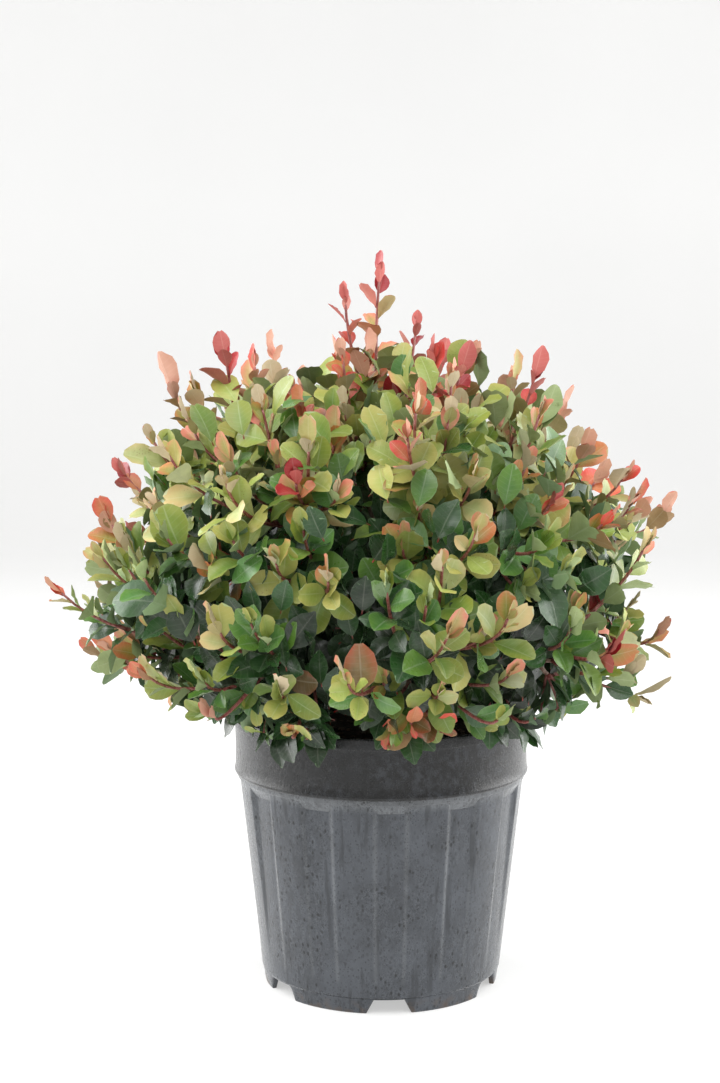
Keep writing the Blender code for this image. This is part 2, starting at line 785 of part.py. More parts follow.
def limb_curve(name, points, radii, group, sides_resolution=None, section=None):
    """A tapering limb as a poly curve, round with a bevel or with a given flat section carried along."""
    curve = bpy.data.curves.new(name, "CURVE")
    curve.dimensions = "3D"
    curve.twist_mode = "MINIMUM"
    curve.use_fill_caps = True
    if section is None:
        curve.bevel_depth = 1.0
        curve.bevel_resolution = sides_resolution
    else:
        curve.bevel_mode = "OBJECT"
        curve.bevel_object = section
    spline = curve.splines.new("POLY")
    spline.points.add(len(points) - 1)
    for spot, place, radius in zip(spline.points, points, radii):
        spot.co = (*place, 1.0)
        spot.radius = radius
    return add_object(name, curve, group)


def three_cornered_section(group):
    """A triangle one unit from its middle to its corners, for the shoots' cross-section."""
    curve = bpy.data.curves.new("three_cornered_section", "CURVE")
    curve.dimensions = "2D"
    curve.fill_mode = "NONE"
    spline = curve.splines.new("POLY")
    spline.points.add(2)
    for k, spot in enumerate(spline.points):
        corner = turned_about_axis(math.radians(90.0 + 120.0 * k))
        spot.co = (corner.x, corner.y, 0.0, 1.0)
    spline.use_cyclic_u = True
    return add_object("three_cornered_section", curve, group)


def made_solid(items):
    """Turn each curve object into a closed mesh object in its place, with its caps welded."""
    bpy.context.view_layer.update()
    depsgraph = bpy.context.evaluated_depsgraph_get()
    made = []
    for item in items:
        mesh = bpy.data.meshes.new_from_object(item.evaluated_get(depsgraph))
        shape = bmesh.new()
        shape.from_mesh(mesh)
        bmesh.ops.remove_doubles(shape, verts=shape.verts, dist=WELD)
        bmesh.ops.recalc_face_normals(shape, faces=shape.faces)
        shape.to_mesh(mesh)
        shape.free()
        made.append((item, mesh))
    solids = []
    for item, mesh in made:
        name = item.name
        group = item.users_collection[0]
        place = item.matrix_world.copy()
        curve = item.data
        bpy.data.objects.remove(item)
        bpy.data.curves.remove(curve)
        mesh.name = name
        solid = add_object(name, mesh, group)
        solid.matrix_world = place
        solids.append(solid)
    return solids


def core_mesh(mass, masses):
    """The dense middle of a mass: a ball drawn out or in to its own reach in every direction."""
    mesh = bpy.data.meshes.new(f"{mass.name}_core")
    shape = bmesh.new()
    bmesh.ops.create_icosphere(shape, subdivisions=CORE_SUBDIVISIONS, radius=1.0)
    for corner in shape.verts:
        way = corner.co.normalized()
        corner.co = mass.heart + way * mass.core_reach(way, masses)
    shape.to_mesh(mesh)
    shape.free()
    return mesh


def main_body(mesh):
    """Split faces into triangles and drop scraps and sealed hollows, which leaves the largest body."""
    shape = bmesh.new()
    shape.from_mesh(mesh)
    bmesh.ops.triangulate(shape, faces=shape.faces)
    unseen = set(shape.verts)
    bodies = []
    while unseen:
        front = [unseen.pop()]
        body = set(front)
        while front:
            spot = front.pop()
            for edge in spot.link_edges:
                other = edge.other_vert(spot)
                if other in unseen:
                    unseen.discard(other)
                    body.add(other)
                    front.append(other)
        bodies.append(body)
    bodies.sort(key=len)
    for body in bodies[:-1]:
        bmesh.ops.delete(shape, geom=list(body), context="VERTS")
    return shape


def troubled_spots(shape):
    """Places where the joined body has an open or shared edge, or a triangle too thin to keep."""
    spots = [e.verts[0].co.copy() for e in shape.edges if len(e.link_faces) != 2]
    for face in shape.faces:
        longest = max(edge.calc_length() for edge in face.edges)
        if 2.0 * face.calc_area() < THINNEST_TRIANGLE * longest:
            spots.append(face.calc_center_median())
    return spots


def eased_leaves(leaves, ends, spots, drop):
    """The leaves again, with the one nearest to each troubled spot slid a little deeper, or dropped.

    The first leaves are the shoots' end leaves, which reach the crown's outline and are never dropped.
    """
    eased = [list(corners) for corners in leaves]
    touched = set()
    for spot in spots:
        nearest = min(
            range(len(leaves)),
            key=lambda i: min((point - spot).length for point in sample_leaf(leaves[i])),
        )
        touched.add(nearest)
    for i in touched:
        root = leaves[i][0].lerp(leaves[i][1], 0.5)
        deeper = (root - leaves[i][5]).normalized() * LEAF_NUDGE
        eased[i] = [corner + deeper for corner in leaves[i]]
    if drop:
        return [corners for i, corners in enumerate(eased) if i < ends or i not in touched]
    return eased


def joined_shape(body, pieces, leaves):
    """The union of a core with its stem and shoots, which are in the collection already, and its leaves."""
    items = []
    for i, corners in enumerate(leaves):
        blade = mesh_from(f"{body.name}_leaf", corners, LEAF_FACES)
        items.append(add_object(f"{body.name}_leaf_{i + 1}", blade, pieces))
    bpy.context.view_layer.update()
    depsgraph = bpy.context.evaluated_depsgraph_get()
    joined = bpy.data.meshes.new_from_object(body.evaluated_get(depsgraph))
    shape = main_body(joined)
    bpy.data.meshes.remove(joined)
    remove_items(items)
    return shape


def remove_items(items):
    for item in items:
        mesh = item.data
        bpy.data.objects.remove(item)
        bpy.data.meshes.remove(mesh)


def build_mass(mass, masses, runs, tips, parts, section, material):
    """Grow one mass, then join its core, stem, shoots and leaves by one union."""
    shoots, leaves, ends = grow_mass(mass, masses, runs, tips)
    name = f"{mass.name}_foliage"
    pieces = new_collection(f"{name}_pieces")
    stem_points = mass.stem_points()
    taper = (BOUGH_TIP_RADIUS - HEART_RADIUS) / (len(stem_points) - 1)
    stem_radii = [BOUGH_TIP_RADIUS - i * taper for i in range(len(stem_points))]
    curves = [limb_curve(f"{name}_stem", stem_points, stem_radii, pieces, LIMB_SIDES_RESOLUTION)]
    for i, points in enumerate(shoots):
        fall = (SHOOT_RADIUS - SHOOT_TIP_RADIUS) / (len(points) - 1)
        radii = [SHOOT_RADIUS - k * fall for k in range(len(points))]
        curves.append(limb_curve(f"{name}_shoot_{i + 1}", points, radii, pieces, section=section))
    made_solid(curves)
    body = add_object(name, core_mesh(mass, masses), parts, material)
    join = body.modifiers.new("join", "BOOLEAN")
    join.operation = "UNION"
    join.operand_type = "COLLECTION"
    join.collection = pieces
    join.solver = "EXACT"
    shape = joined_shape(body, pieces, leaves)
    for attempt in range(JOIN_TRIES):
        spots = troubled_spots(shape)
        if not spots:
            break
        shape.free()
        leaves = eased_leaves(leaves, ends, spots, attempt >= JOIN_TRIES // 2)
        shape = joined_shape(body, pieces, leaves)
    body.modifiers.clear()
    shape.to_mesh(body.data)
    shape.free()
    body.data.materials.clear()
    body.data.materials.append(material)
    remove_items(list(pieces.objects))
    bpy.data.collections.remove(pieces)
    return len(leaves)


def build_boughs(masses, parts):
    """One tapering limb from the stem to each mass."""
    material = finish("bough_bark", *BOUGH_FINISH)
    curves = []
    for mass in masses:
        points = mass.bough_points()
        fall = (mass.bough_radius - BOUGH_TIP_RADIUS) / (len(points) - 1)
        radii = [mass.bough_radius - i * fall for i in range(len(points))]
        name = f"{mass.name}_bough"
        curves.append(limb_curve(name, points, radii, parts, LIMB_SIDES_RESOLUTION))
    for solid in made_solid(curves):
        solid.data.materials.clear()
        solid.data.materials.append(material)
        solid.data.shade_smooth()
        solid.data.set_sharp_from_angle(angle=BOUGH_SHARP_ANGLE)


def main():
    clear_scene()
    parts = new_collection(OBJECT_NAME)
    cutters = new_collection("cutters")
    build_pot(parts, cutters)
    build_soil(parts)
    build_stem(parts)
    masses = make_masses()
    build_boughs(masses, parts)
    runs = limb_segments(masses)
    shared = shoot_targets(masses)
    guides = new_collection("guides")
    section = three_cornered_section(guides)
    finishes = {
        "top": finish("young_red_foliage", *TOP_FOLIAGE_FINISH),
        "upper": finish("yellow_green_foliage", *UPPER_FOLIAGE_FINISH),
        "lower": finish("dark_green_foliage", *LOWER_FOLIAGE_FINISH),
    }
    leaves = 0
    for mass in masses:
        tips = shared[mass.name]
        leaves += build_mass(mass, masses, runs, tips, parts, section, finishes[mass.ring])
    print(f"{leaves} leaves in all")
    profile = section.data
    bpy.data.objects.remove(section)
    bpy.data.curves.remove(profile)
    bpy.data.collections.remove(guides)


main()
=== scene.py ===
"""The looks of a potted young red robin photinia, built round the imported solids.

The shoots, twigs and leaves follow the source's rule: one heart of growth for each mass, shoots from it to
the crown's outline, and leaves round each shoot in a spiral. Here the rule is carried further, with small
branches between heart and shoots, about fifteen times as many leaves, and tints dealt out shoot by shoot.
Units are metres, +Z is up and the front faces -Y.
"""

import math

import bpy
import numpy as np
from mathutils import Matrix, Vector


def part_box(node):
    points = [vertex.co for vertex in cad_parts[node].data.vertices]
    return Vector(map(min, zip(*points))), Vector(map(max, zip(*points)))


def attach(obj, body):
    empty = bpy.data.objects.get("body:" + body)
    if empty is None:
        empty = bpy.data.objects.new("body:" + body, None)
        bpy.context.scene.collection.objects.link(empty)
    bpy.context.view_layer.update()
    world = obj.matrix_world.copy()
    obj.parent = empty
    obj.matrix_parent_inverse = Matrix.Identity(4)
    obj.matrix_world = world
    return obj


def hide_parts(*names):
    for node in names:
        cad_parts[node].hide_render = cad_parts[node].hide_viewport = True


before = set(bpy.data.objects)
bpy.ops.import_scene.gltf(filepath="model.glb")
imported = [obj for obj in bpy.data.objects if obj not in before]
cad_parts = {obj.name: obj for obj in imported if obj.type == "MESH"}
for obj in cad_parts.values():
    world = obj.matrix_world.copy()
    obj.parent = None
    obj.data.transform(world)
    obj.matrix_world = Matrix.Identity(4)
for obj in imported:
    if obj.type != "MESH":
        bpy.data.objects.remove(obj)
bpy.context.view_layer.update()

SEED = 41
UP = np.array([0.0, 0.0, 1.0])
SIDE_VEINS = 9.0
NOISE_PRIMES = np.array([73856093, 19349663, 83492791])
NOISE_MIXER = 1274126177
TUBE_MAP_SCALE = 20.0

# Pot, from the frame where the frame gives it
RIM_RADIUS, _, POT_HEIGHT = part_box("pot")[1]
LIP_HEIGHT = 0.01
LIP_WIDTH = 0.004
COLLAR_RADIUS = RIM_RADIUS - 0.0015
COLLAR_BOTTOM = 0.204
WALL_TOP = 0.1999
WALL_TOP_RADIUS = 0.1362
FOOT_HEIGHT = 0.015
FOOT_RADIUS = 0.1118
FOOT_BAND_RADIUS = 0.1139
WALL_FOOT_RADIUS = 0.1148
FOOT_RING_WIDTH = 0.0042
FLOOR_UNDERSIDE = 0.016
FLOOR_TOP = 0.019
FLOOR_RADII = (0.03, 0.06)
INNER_WALL_INSET = 0.0058
INNER_BEVEL = 0.002
INNER_ROUND = 0.0012
OUTER_ROUND = 0.0014
LOWER_ROUND = 0.001
COLLAR_THICKNESS = 0.0036
COLLAR_WAIST = 0.0006
COLLAR_WAIST_LENGTH = 0.045
COLLAR_TURN_IN = 0.003
COLLAR_TURN_DOWN = 0.0035
FLUTES = 12
FLUTE_HALF_ANGLE = math.radians(6.3)
FLUTE_EDGE = math.radians(2.8)
FLUTE_DEPTH = 0.0042
FLUTE_FADE = 0.026
# Strength of the painted highlight on the slopes of the flutes
FLUTE_HIGHLIGHT = 0.42
CHAMFER_SLOPE = 1.9
NOTCHES = 6
NOTCH_TOP_WIDTH = 0.028
NOTCH_FOOT_WIDTH = 0.042
NOTCH_HEIGHT = 0.013
FEATURE_TURN = math.radians(-90.0 + 3.3)
POT_COLUMNS = 720
FOOT_ROWS = 16
# Strength of the painted highlight on the ledge under the collar
LEDGE_HIGHLIGHT = 0.8

# Soil and stem
SOIL_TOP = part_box("soil")[1][2]
SOIL_FALL = 0.0028
CHIPS = 420
CHIP_REACH = (0.024, 0.13)
CHIP_SIZES = (0.0025, 0.0075)
CHIP_SHAPE = np.array([1.0, 0.7, 0.35])
STEM_FOOT, STEM_FORK = (corner[2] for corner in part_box("stem"))
STEM_FLARE_RADIUS = 0.017
STEM_RADIUS = 0.0115
STEM_FORK_RADIUS = 0.0125
STEM_FLARE_HEIGHT = 0.016
STEM_ROOTS = 4
ROOT_LOBES = 0.15
FORK_SWELL_START = 0.288
STEM_RINGS = 60
STEM_SIDES = 64
BARK_DEPTH = 0.0011
BOUGH_RINGS = 22
BOUGH_SIDES = 20
BOUGH_NODES = 5
BOUGH_SWELL = 0.1
BOUGH_BARK_DEPTH = 0.0006
STEM_LEAN = np.array([0.0015, -0.001, 0.0])

# Crown outline and masses, as in the source
CROWN_HEART = np.array([-0.005, 0.0, 0.36])
CROWN_HALF_WIDTH = 0.262
CROWN_RISE = 0.252
CROWN_DROP = 0.128
CROWN_SQUARENESS = 2.4

# Each ring of masses: its name, how many there are, and their hearts' distance out, height and first azimuth.
# Then their boughs: heights on the stem, distance out from its middle, bend from the start and tip, both as
# distance out and up, and radius
MASS_RINGS = (
    ("top", 1, 0.0, 0.5, 0.0, (STEM_FORK,), 0.0, (0.0, 0.05), (0.0, 0.405), 0.0036),
    ("upper", 5, 0.13, 0.46, 18.0, (STEM_FORK,), 0.0082, (0.0, 0.045), (0.05, 0.385), 0.0036),
    ("lower", 8, 0.18, 0.335, 10.0, (0.266, 0.284), 0.6 * STEM_RADIUS, (0.03, 0.0), (0.07, 0.3), 0.004),
)
BOUGH_TIP_RADIUS = 0.0027

# Young shoots that stand out of the outline, as in the source: tip, flush of young leaves, end leaf's length
LEADERS = (
    ((-0.305, -0.09, 0.4), "coral", 0.022),
    ((-0.296, 0.05, 0.322), "bronze", 0.026),
    ((-0.262, 0.06, 0.5), "red", 0.024),
    ((-0.205, -0.05, 0.602), "bronze", 0.046),
    ((-0.15, -0.03, 0.622), "red", 0.03),
    ((-0.035, -0.03, 0.667), "red", 0.022),
    ((0.0, 0.01, 0.698), "red", 0.026),
    ((0.036, 0.06, 0.643), "red", 0.02),
    ((0.08, -0.07, 0.612), "red", 0.036),
    ((0.15, -0.02, 0.608), "red", 0.034),
    ((0.19, 0.06, 0.57), "coral", 0.034),
    ((0.235, -0.1, 0.49), "coral", 0.03),
    ((0.305, 0.14, 0.46), "bronze", 0.032),
    ((0.27, -0.05, 0.302), "yellow", 0.042),
    ((0.06, -0.3, 0.4), "yellow", 0.036),
    ((-0.07, 0.3, 0.43), "yellow", 0.036),
    ((0.07, 0.17, 0.618), "red", 0.03),
    ((-0.11, 0.15, 0.626), "coral", 0.032),
    ((-0.205, 0.215, 0.44), "bronze", 0.032),
    ((0.195, 0.22, 0.33), "yellow", 0.038),
)

# Shoots: their number, how far down the outline they go, and how they scatter in way and in reach
SHOOTS = 270
SHOOT_SWEEP = 1.7
GOLDEN_TURN = math.pi * (3.0 - math.sqrt(5.0))
SHOOT_SCATTER = 0.05
LONGEST_SHOOT = 1.06
SHOOT_SHORTENING = 0.24
SHOOT_SHORTENING_POWER = 1.4
LEADER_ROOM = 0.032
FAN_FOOT = np.array([0.0, 0.0, 0.1])
FAN_LIFT = 0.9
FAN_LIFT_HEIGHTS = (0.26, 0.36)
SPAN_PULL = 0.5
BEND_SHARE = 0.5
SHOOT_SWAY = 0.08
SHOOT_RADII = (0.002, 0.0012)
SHOOT_POINTS = 9
SHOOTS_A_BRANCH = 3
GROUPING_ROUNDS = 6
BRANCH_RADII = (0.0022, 0.0019)
BRANCH_POINTS = 6
BRANCH_FORK = 0.3
BRANCH_BEND = 0.16
BRANCH_SAG = 0.008
TWIG_SIDES = 6
MASS_STEM_SIDES = 8

# The crown's lower edge, and the outer limits that leaves keep to
SKIRT_RADIUS = 0.13
SKIRT_HEIGHT = 0.245
SKIRT_SLOPE = 0.45
SKIRT_SCATTER = 0.025
SKIRT_LEAF_DROP = 0.009
LOWEST_LEAF = 0.2345
LOWEST_TIP = 0.2385
REACH = np.array([0.308, 0.305, 0.701])
POT_ROOM = 0.0015

# Leaves down a shoot. Pairs of rows are heights of the shoot's tip and values there
LEAF_TURN = math.radians(137.5)
LEAF_LENGTH = 0.0365
LEAF_SPACING = 0.008
SPACING_GAIN = ((0.48, 0.62), (1.0, 1.34))
DRESSED_SHARE = 0.92
LEAVES_A_SHOOT = (7, 22)
LEAST_SPREAD = 16.0
SPREAD_GAIN = 40.0
SPREAD_SCATTER = 8.0
FACE_ALONG = 0.6
FACE_UP = 0.25
FACE_OUT = 0.5
FACE_SCATTER = 0.28
LEAST_HANG = 0.1
HANG_GAIN = 0.45
LEADER_HANG = 0.3
SIZE_SCATTER = 0.18
SIZE_LIMITS = (0.7, 1.5)
LEAF_WIDTHS = (0.56, 0.8)
WIDTH_GAIN = ((0.28, 0.44), (0.84, 1.0))
MOST_DROOP = 42.0
LEAF_FOLDS = (8.0, 32.0)
ODD_LEAVES = 0.028
ODD_LEAVES_BELOW = 0.47
END_LEAF_LENGTHS = (0.018, 0.036)
END_LEAF_WIDTHS = (0.5, 0.66)
INNER_LEAVES = 2100
HANGING_SHOOTS = 14
HANGING_POINTS = 7
HANGING_ROOTS = [6, 6, 5, 5]

# Stage and camera
FLOOR_FLAT = 4.2
FLOOR_BEND = 1.2
FLOOR_WALL_TOP = 6.0
FLOOR_SIDES = 96
PAPER_GLOW = 0.48
FOCAL_PIXELS = 1829.8
PICTURE_PIXELS = 1083.0
CAMERA_PLACE = (-0.0202, -1.7317, 0.5928)
CAMERA_DIP = 5.62


def crown_share(points):
    """1 on the crown's outline: a rounded box of revolution, flat radius and height each to a power."""
    away = points - CROWN_HEART
    rise = np.where(away[..., 2] > 0, CROWN_RISE, CROWN_DROP)
    flat = (np.hypot(away[..., 0], away[..., 1]) / CROWN_HALF_WIDTH) ** CROWN_SQUARENESS
    tall = (np.abs(away[..., 2]) / rise) ** CROWN_SQUARENESS
    return (flat + tall) ** (1.0 / CROWN_SQUARENESS)


def unit(vectors):
    """Each vector over its own length."""
    length = np.linalg.norm(vectors, axis=-1, keepdims=True)
    return vectors / np.maximum(length, 1e-9)


def circle_point(azimuth, radius=1.0, height=0.0):
    """The point at a radius and height round the upright axis, by azimuth."""
    return np.array([radius * math.cos(azimuth), radius * math.sin(azimuth), height])


def bezier(start, bend, end, shares):
    """Points on a curve that leaves start towards bend and comes to end from it, one for each share."""
    shares = np.asarray(shares)[:, None]
    return start * (1 - shares) ** 2 + bend * 2 * shares * (1 - shares) + end * shares**2


def value_noise(points, scale, seed):
    """Smooth noise from 0 to 1: random numbers on a grid of cells, blended between the cells' corners.

    A corner's number is its three counts, each times a large prime, mixed bit by bit.
    """
    spot = points * scale + seed * 17.31
    cell = np.floor(spot).astype(np.int64)
    part = spot - cell
    part = part * part * (3.0 - 2.0 * part)
    total = np.zeros(points.shape[:-1])
    for offset in np.ndindex(2, 2, 2):
        x, y, z = np.moveaxis((cell + np.array(offset)) * NOISE_PRIMES, -1, 0)
        mixed = x ^ y ^ z
        mixed = (mixed ^ (mixed >> 13)) * NOISE_MIXER
        weight = np.abs(1 - np.array(offset) - part).prod(axis=-1)
        total = total + (mixed & 0xFFFF) / 65535.0 * weight
    return total


# Mesh making


def grid_faces(rows, columns, close_columns=False):
    """Quads between neighbouring rows and columns of a grid of points, the last column joined if closed."""
    wide = columns if close_columns else columns - 1
    r, c = np.meshgrid(np.arange(rows - 1), np.arange(wide), indexing="ij")
    here = r * columns + c
    after = r * columns + (c + 1) % columns
    return np.stack([here, after, after + columns, here + columns], -1).reshape(-1, 4)


def mesh_piece(name, points, faces, materials, slots=None, map_points=None, tone=None, smooth=True):
    """An object from whole arrays. faces is a list of arrays, each of faces with one number of corners."""
    mesh = bpy.data.meshes.new(name)
    points = np.asarray(points, dtype=np.float32).reshape(-1, 3)
    corners = np.concatenate([np.asarray(part).reshape(-1) for part in faces]).astype(np.int32)
    counts = np.concatenate([np.full(len(part), part.shape[1], np.int32) for part in faces])
    starts = np.concatenate([[0], np.cumsum(counts)[:-1]]).astype(np.int32)
    mesh.vertices.add(len(points))
    mesh.vertices.foreach_set("co", points.reshape(-1))
    mesh.loops.add(len(corners))
    mesh.loops.foreach_set("vertex_index", corners)
    mesh.polygons.add(len(counts))
    mesh.polygons.foreach_set("loop_start", starts)
    mesh.update(calc_edges=True)
    for material in materials:
        mesh.materials.append(material)
    if slots is not None:
        mesh.polygons.foreach_set("material_index", np.asarray(slots, np.int32))
    if map_points is not None:
        layer = mesh.uv_layers.new(name="surface_map")
        layer.data.foreach_set("uv", np.asarray(map_points, np.float32)[corners].reshape(-1))
    if tone is not None:
        mark = mesh.attributes.new("tone", "FLOAT", "POINT")
        mark.data.foreach_set("value", np.asarray(tone, np.float32))
    if smooth:
        mesh.polygons.foreach_set("use_smooth", np.ones(len(counts), bool))
    mesh.update()
    item = bpy.data.objects.new(name, mesh)
    bpy.context.scene.collection.objects.link(item)
    return item


def tube_rings(path, radii, sides):
    """Rings round a path: at each point a circle square to the path, carried along with least twist."""
    way = unit(np.gradient(path, axis=0))
    side = np.zeros_like(path)
    first = np.array([1.0, 0.0, 0.0]) if abs(way[0][0]) < 0.8 else np.array([0.0, 1.0, 0.0])
    side[0] = unit(first - way[0] * first.dot(way[0]))
    for i in range(1, len(path)):
        side[i] = unit(side[i - 1] - way[i] * side[i - 1].dot(way[i]))
    other = np.cross(way, side)
    angle = np.arange(sides) * 2.0 * math.pi / sides
    ring = side[:, None, :] * np.cos(angle)[None, :, None] + other[:, None, :] * np.sin(angle)[None, :, None]
    return path[:, None, :] + ring * radii[:, None, None]


def capped_grid(rings, low, high):
    """Points, quads and end fans of closed rings, the fans meeting in one point at each end."""
    rows, sides = rings.shape[:2]
    turn = np.arange(sides)
    after = (turn + 1) % sides
    count = rows * sides
    last = count - sides
    first_fan = np.stack([np.full(sides, count), after, turn], -1)
    last_fan = np.stack([np.full(sides, count + 1), last + turn, last + after], -1)
    points = np.concatenate([rings.reshape(-1, 3), [low, high]])
    return points, grid_faces(rows, sides, True), np.concatenate([first_fan, last_fan])


def join_parts(parts):
    """Many (points, quads, fans) as points and faces of one mesh, each part counting on from the last."""
    starts = np.cumsum([0] + [len(part[0]) for part in parts])
    joined = [np.concatenate([part[kind] + start for part, start in zip(parts, starts)]) for kind in (1, 2)]
    return np.concatenate([part[0] for part in parts]), joined


def joined_tubes(name, tubes, material):
    """One piece from capped tubes (path, radii, sides), mapped by distance along and share of a turn."""
    parts = []
    maps = []
    for path, radii, sides in tubes:
        parts.append(capped_grid(tube_rings(path, radii, sides), path[0], path[-1]))
        steps = np.linalg.norm(np.diff(path, axis=0), axis=1)
        along = np.concatenate([[0.0], np.cumsum(steps)]) * TUBE_MAP_SCALE
        grid = np.stack(np.meshgrid(along, np.arange(sides) / sides, indexing="ij"), -1).reshape(-1, 2)
        maps.append(np.concatenate([grid, [[0.0, 0.5], [along[-1], 0.5]]]))
    return mesh_piece(name, *join_parts(parts), [material], map_points=np.concatenate(maps))


# Materials


class Value:
    """A number that a node gives. Its sums, differences, products and size are numbers from nodes too."""

    def __init__(self, finish, socket):
        self.finish = finish
        self.socket = socket

    def __add__(self, other):
        return self.finish.maths("ADD", self, other)

    def __sub__(self, other):
        return self.finish.maths("SUBTRACT", self, other)

    def __mul__(self, other):
        return self.finish.maths("MULTIPLY", self, other)

    def __abs__(self):
        return self.finish.maths("ABSOLUTE", self)


class Finish:
    """A procedural finish: a Principled shader with helpers that add and join nodes."""

    def __init__(self, name):
        self.material = bpy.data.materials.new(name)
        self.material.use_nodes = True
        self.tree = self.material.node_tree
        self.shader = self.tree.nodes["Principled BSDF"]

    def feed(self, socket, value):
        """Joins a node's value to a socket, or sets the socket to a plain one."""
        if isinstance(value, Value):
            self.tree.links.new(value.socket, socket)
        else:
            socket.default_value = value

    def set(self, **sockets):
        """Feeds the shader's own sockets, _ standing for a blank in their names."""
        for name, value in sockets.items():
            self.feed(self.shader.inputs[name.replace("_", " ")], value)

    def node(self, kind, settings=None, **inputs):
        """A new node with its settings and inputs; gives its outputs by name."""
        made = self.tree.nodes.new(kind)
        for name, value in (settings or {}).items():
            setattr(made, name, value)
        for name, value in inputs.items():
            self.feed(made.inputs[name.replace("_", " ")], value)
        return {output.name: Value(self, output) for output in made.outputs if output.enabled}

    def maths(self, operation, *values):
        """One step of arithmetic."""
        made = self.tree.nodes.new("ShaderNodeMath")
        made.operation = operation
        for socket, value in zip(made.inputs, values):
            self.feed(socket, value)
        return Value(self, made.outputs[0])

    def most(self, first, *others):
        """The greatest of several values."""
        for other in others:
            first = self.maths("MAXIMUM", first, other)
        return first

    def mix(self, share, first, second, blend="MIX"):
        """The first colour at share 0 and the second at share 1."""
        settings = {"data_type": "RGBA", "blend_type": blend}
        return self.node("ShaderNodeMix", settings, Factor=share, A=first, B=second)["Result"]

    def gained(self, shade, gain):
        """A colour times a plain number."""
        return self.mix(1.0, shade, (gain, gain, gain, 1.0), "MULTIPLY")

    def span(self, value, low, high, to_low=0.0, to_high=1.0):
        """A value read between two limits as a share between two others, held at the ends."""
        limits = {"From_Min": low, "From_Max": high, "To_Min": to_low, "To_Max": to_high}
        return self.node("ShaderNodeMapRange", Value=value, **limits)["Result"]

    def place(self, upright=1.0):
        """The object's own coordinates, its upright one times a number."""
        spot = self.node("ShaderNodeTexCoord")["Object"]
        return self.node("ShaderNodeMapping", Vector=spot, Scale=(1.0, 1.0, upright))["Vector"]

    def noise(self, scale, detail=3.0, rough=0.5, upright=1.0, distortion=0.0):
        """Cloudy noise from 0 to 1."""
        inputs = {"Scale": scale, "Detail": detail, "Roughness": rough, "Distortion": distortion}
        return self.node("ShaderNodeTexNoise", Vector=self.place(upright), **inputs)["Fac"]

    def cells(self, scale):
        """Distance from the nearest of many scattered points."""
        return self.node("ShaderNodeTexVoronoi", Vector=self.place(), Scale=scale)["Distance"]

    def drops(self, scale, upright, size, rarity):
        """Round marks, one to a random cell: those cells whose random number is over rarity."""
        cell = self.node("ShaderNodeTexVoronoi", Vector=self.place(upright), Scale=scale)
        number = self.node("ShaderNodeSeparateXYZ", Vector=cell["Color"])["X"]
        there = self.maths("GREATER_THAN", number, rarity)
        return self.span(cell["Distance"], size, 0.55 * size) * there

    def bump(self, height, strength, distance):
        """Relief of this strength, as deep as distance where height runs from 0 to 1."""
        relief = self.node("ShaderNodeBump", Height=height, Strength=strength, Distance=distance)
        self.set(Normal=relief["Normal"])


def linear(red, green, blue):
    """A display colour from 0 to 255 as the light that it stands for."""
    parts = np.array([red, green, blue]) / 255.0
    light = np.where(parts <= 0.04045, parts / 12.92, ((parts + 0.055) / 1.055) ** 2.4)
    return (*light.tolist(), 1.0)


def lighter(colour, gain, towards=(1.0, 1.0, 0.85, 1.0)):
    """A colour moved by a share towards a warm white."""
    return tuple(a + (b - a) * gain for a, b in zip(colour, towards))


def darker(colour, keep):
    """A colour with a share of its light."""
    return (*(part * keep for part in colour[:3]), 1.0)


def leaf_finish(name, colour, flush, roughness, vein_gain, speck=0.0):
    """Leaf skin: a tint that runs into a flush at margin and tip, paler veins, red stalk, fine bump.

    The side veins are a sawtooth of place along less place across. How far the flush spreads differs from
    leaf to leaf.
    """
    skin = Finish(name)
    spot = skin.node("ShaderNodeUVMap", {"uv_map": "surface_map"})["UV"]
    parts = skin.node("ShaderNodeSeparateXYZ", Vector=spot)
    along = parts["X"]
    across = abs(skin.maths("MULTIPLY_ADD", parts["Y"], 2.0, -1.0))
    midrib = skin.span(across, 0.075, 0.02)
    wave = skin.maths("FRACT", along * SIDE_VEINS - across)
    vein = skin.span(abs(wave - 0.5), 0.12, 0.02)
    margin = skin.span(skin.most(across, along), 0.93, 0.99)
    lines = skin.most(midrib, vein * 0.3, margin * 0.7)
    tone = skin.node("ShaderNodeAttribute", {"attribute_name": "tone"})["Fac"]
    blotch = skin.noise(60.0, 4.0, 0.6)
    shade = skin.mix(skin.span(blotch, 0.35, 0.7), darker(colour, 0.82), lighter(colour, 0.05))
    own = skin.maths("FRACT", tone * 7.31)
    edge = skin.span(across, 0.2, 1.0, 0.0, 0.55) + skin.span(along, 0.45, 1.0, 0.0, 0.55)
    edge = edge + skin.span(own, 0.0, 1.0, -0.35, 0.55) + skin.span(blotch, 0.35, 0.65, -0.15, 0.15)
    shade = skin.mix(skin.span(edge, 0.15, 0.95), shade, flush)
    shade = skin.mix(tone, skin.gained(shade, 0.74), skin.gained(shade, 1.22))
    if speck:
        spots = skin.span(skin.cells(420.0), 0.24, 0.12)
        patch = skin.span(skin.noise(42.0, 2.0), 0.54, 0.62)
        shade = skin.mix(spots * patch * speck, shade, linear(112, 62, 34))
    shade = skin.mix(lines * vein_gain, shade, lighter(colour, 0.4))
    shade = skin.mix(skin.span(along, 0.12, 0.04), shade, linear(132, 44, 36))
    rough = skin.span(blotch, 0.3, 0.7, roughness + 0.07, roughness - 0.05)
    skin.set(Base_Color=shade, Roughness=rough, Specular_IOR_Level=0.47)
    skin.bump(lines * -0.5 + skin.noise(300.0, 2.0), 0.32, 0.0004)
    return skin.material


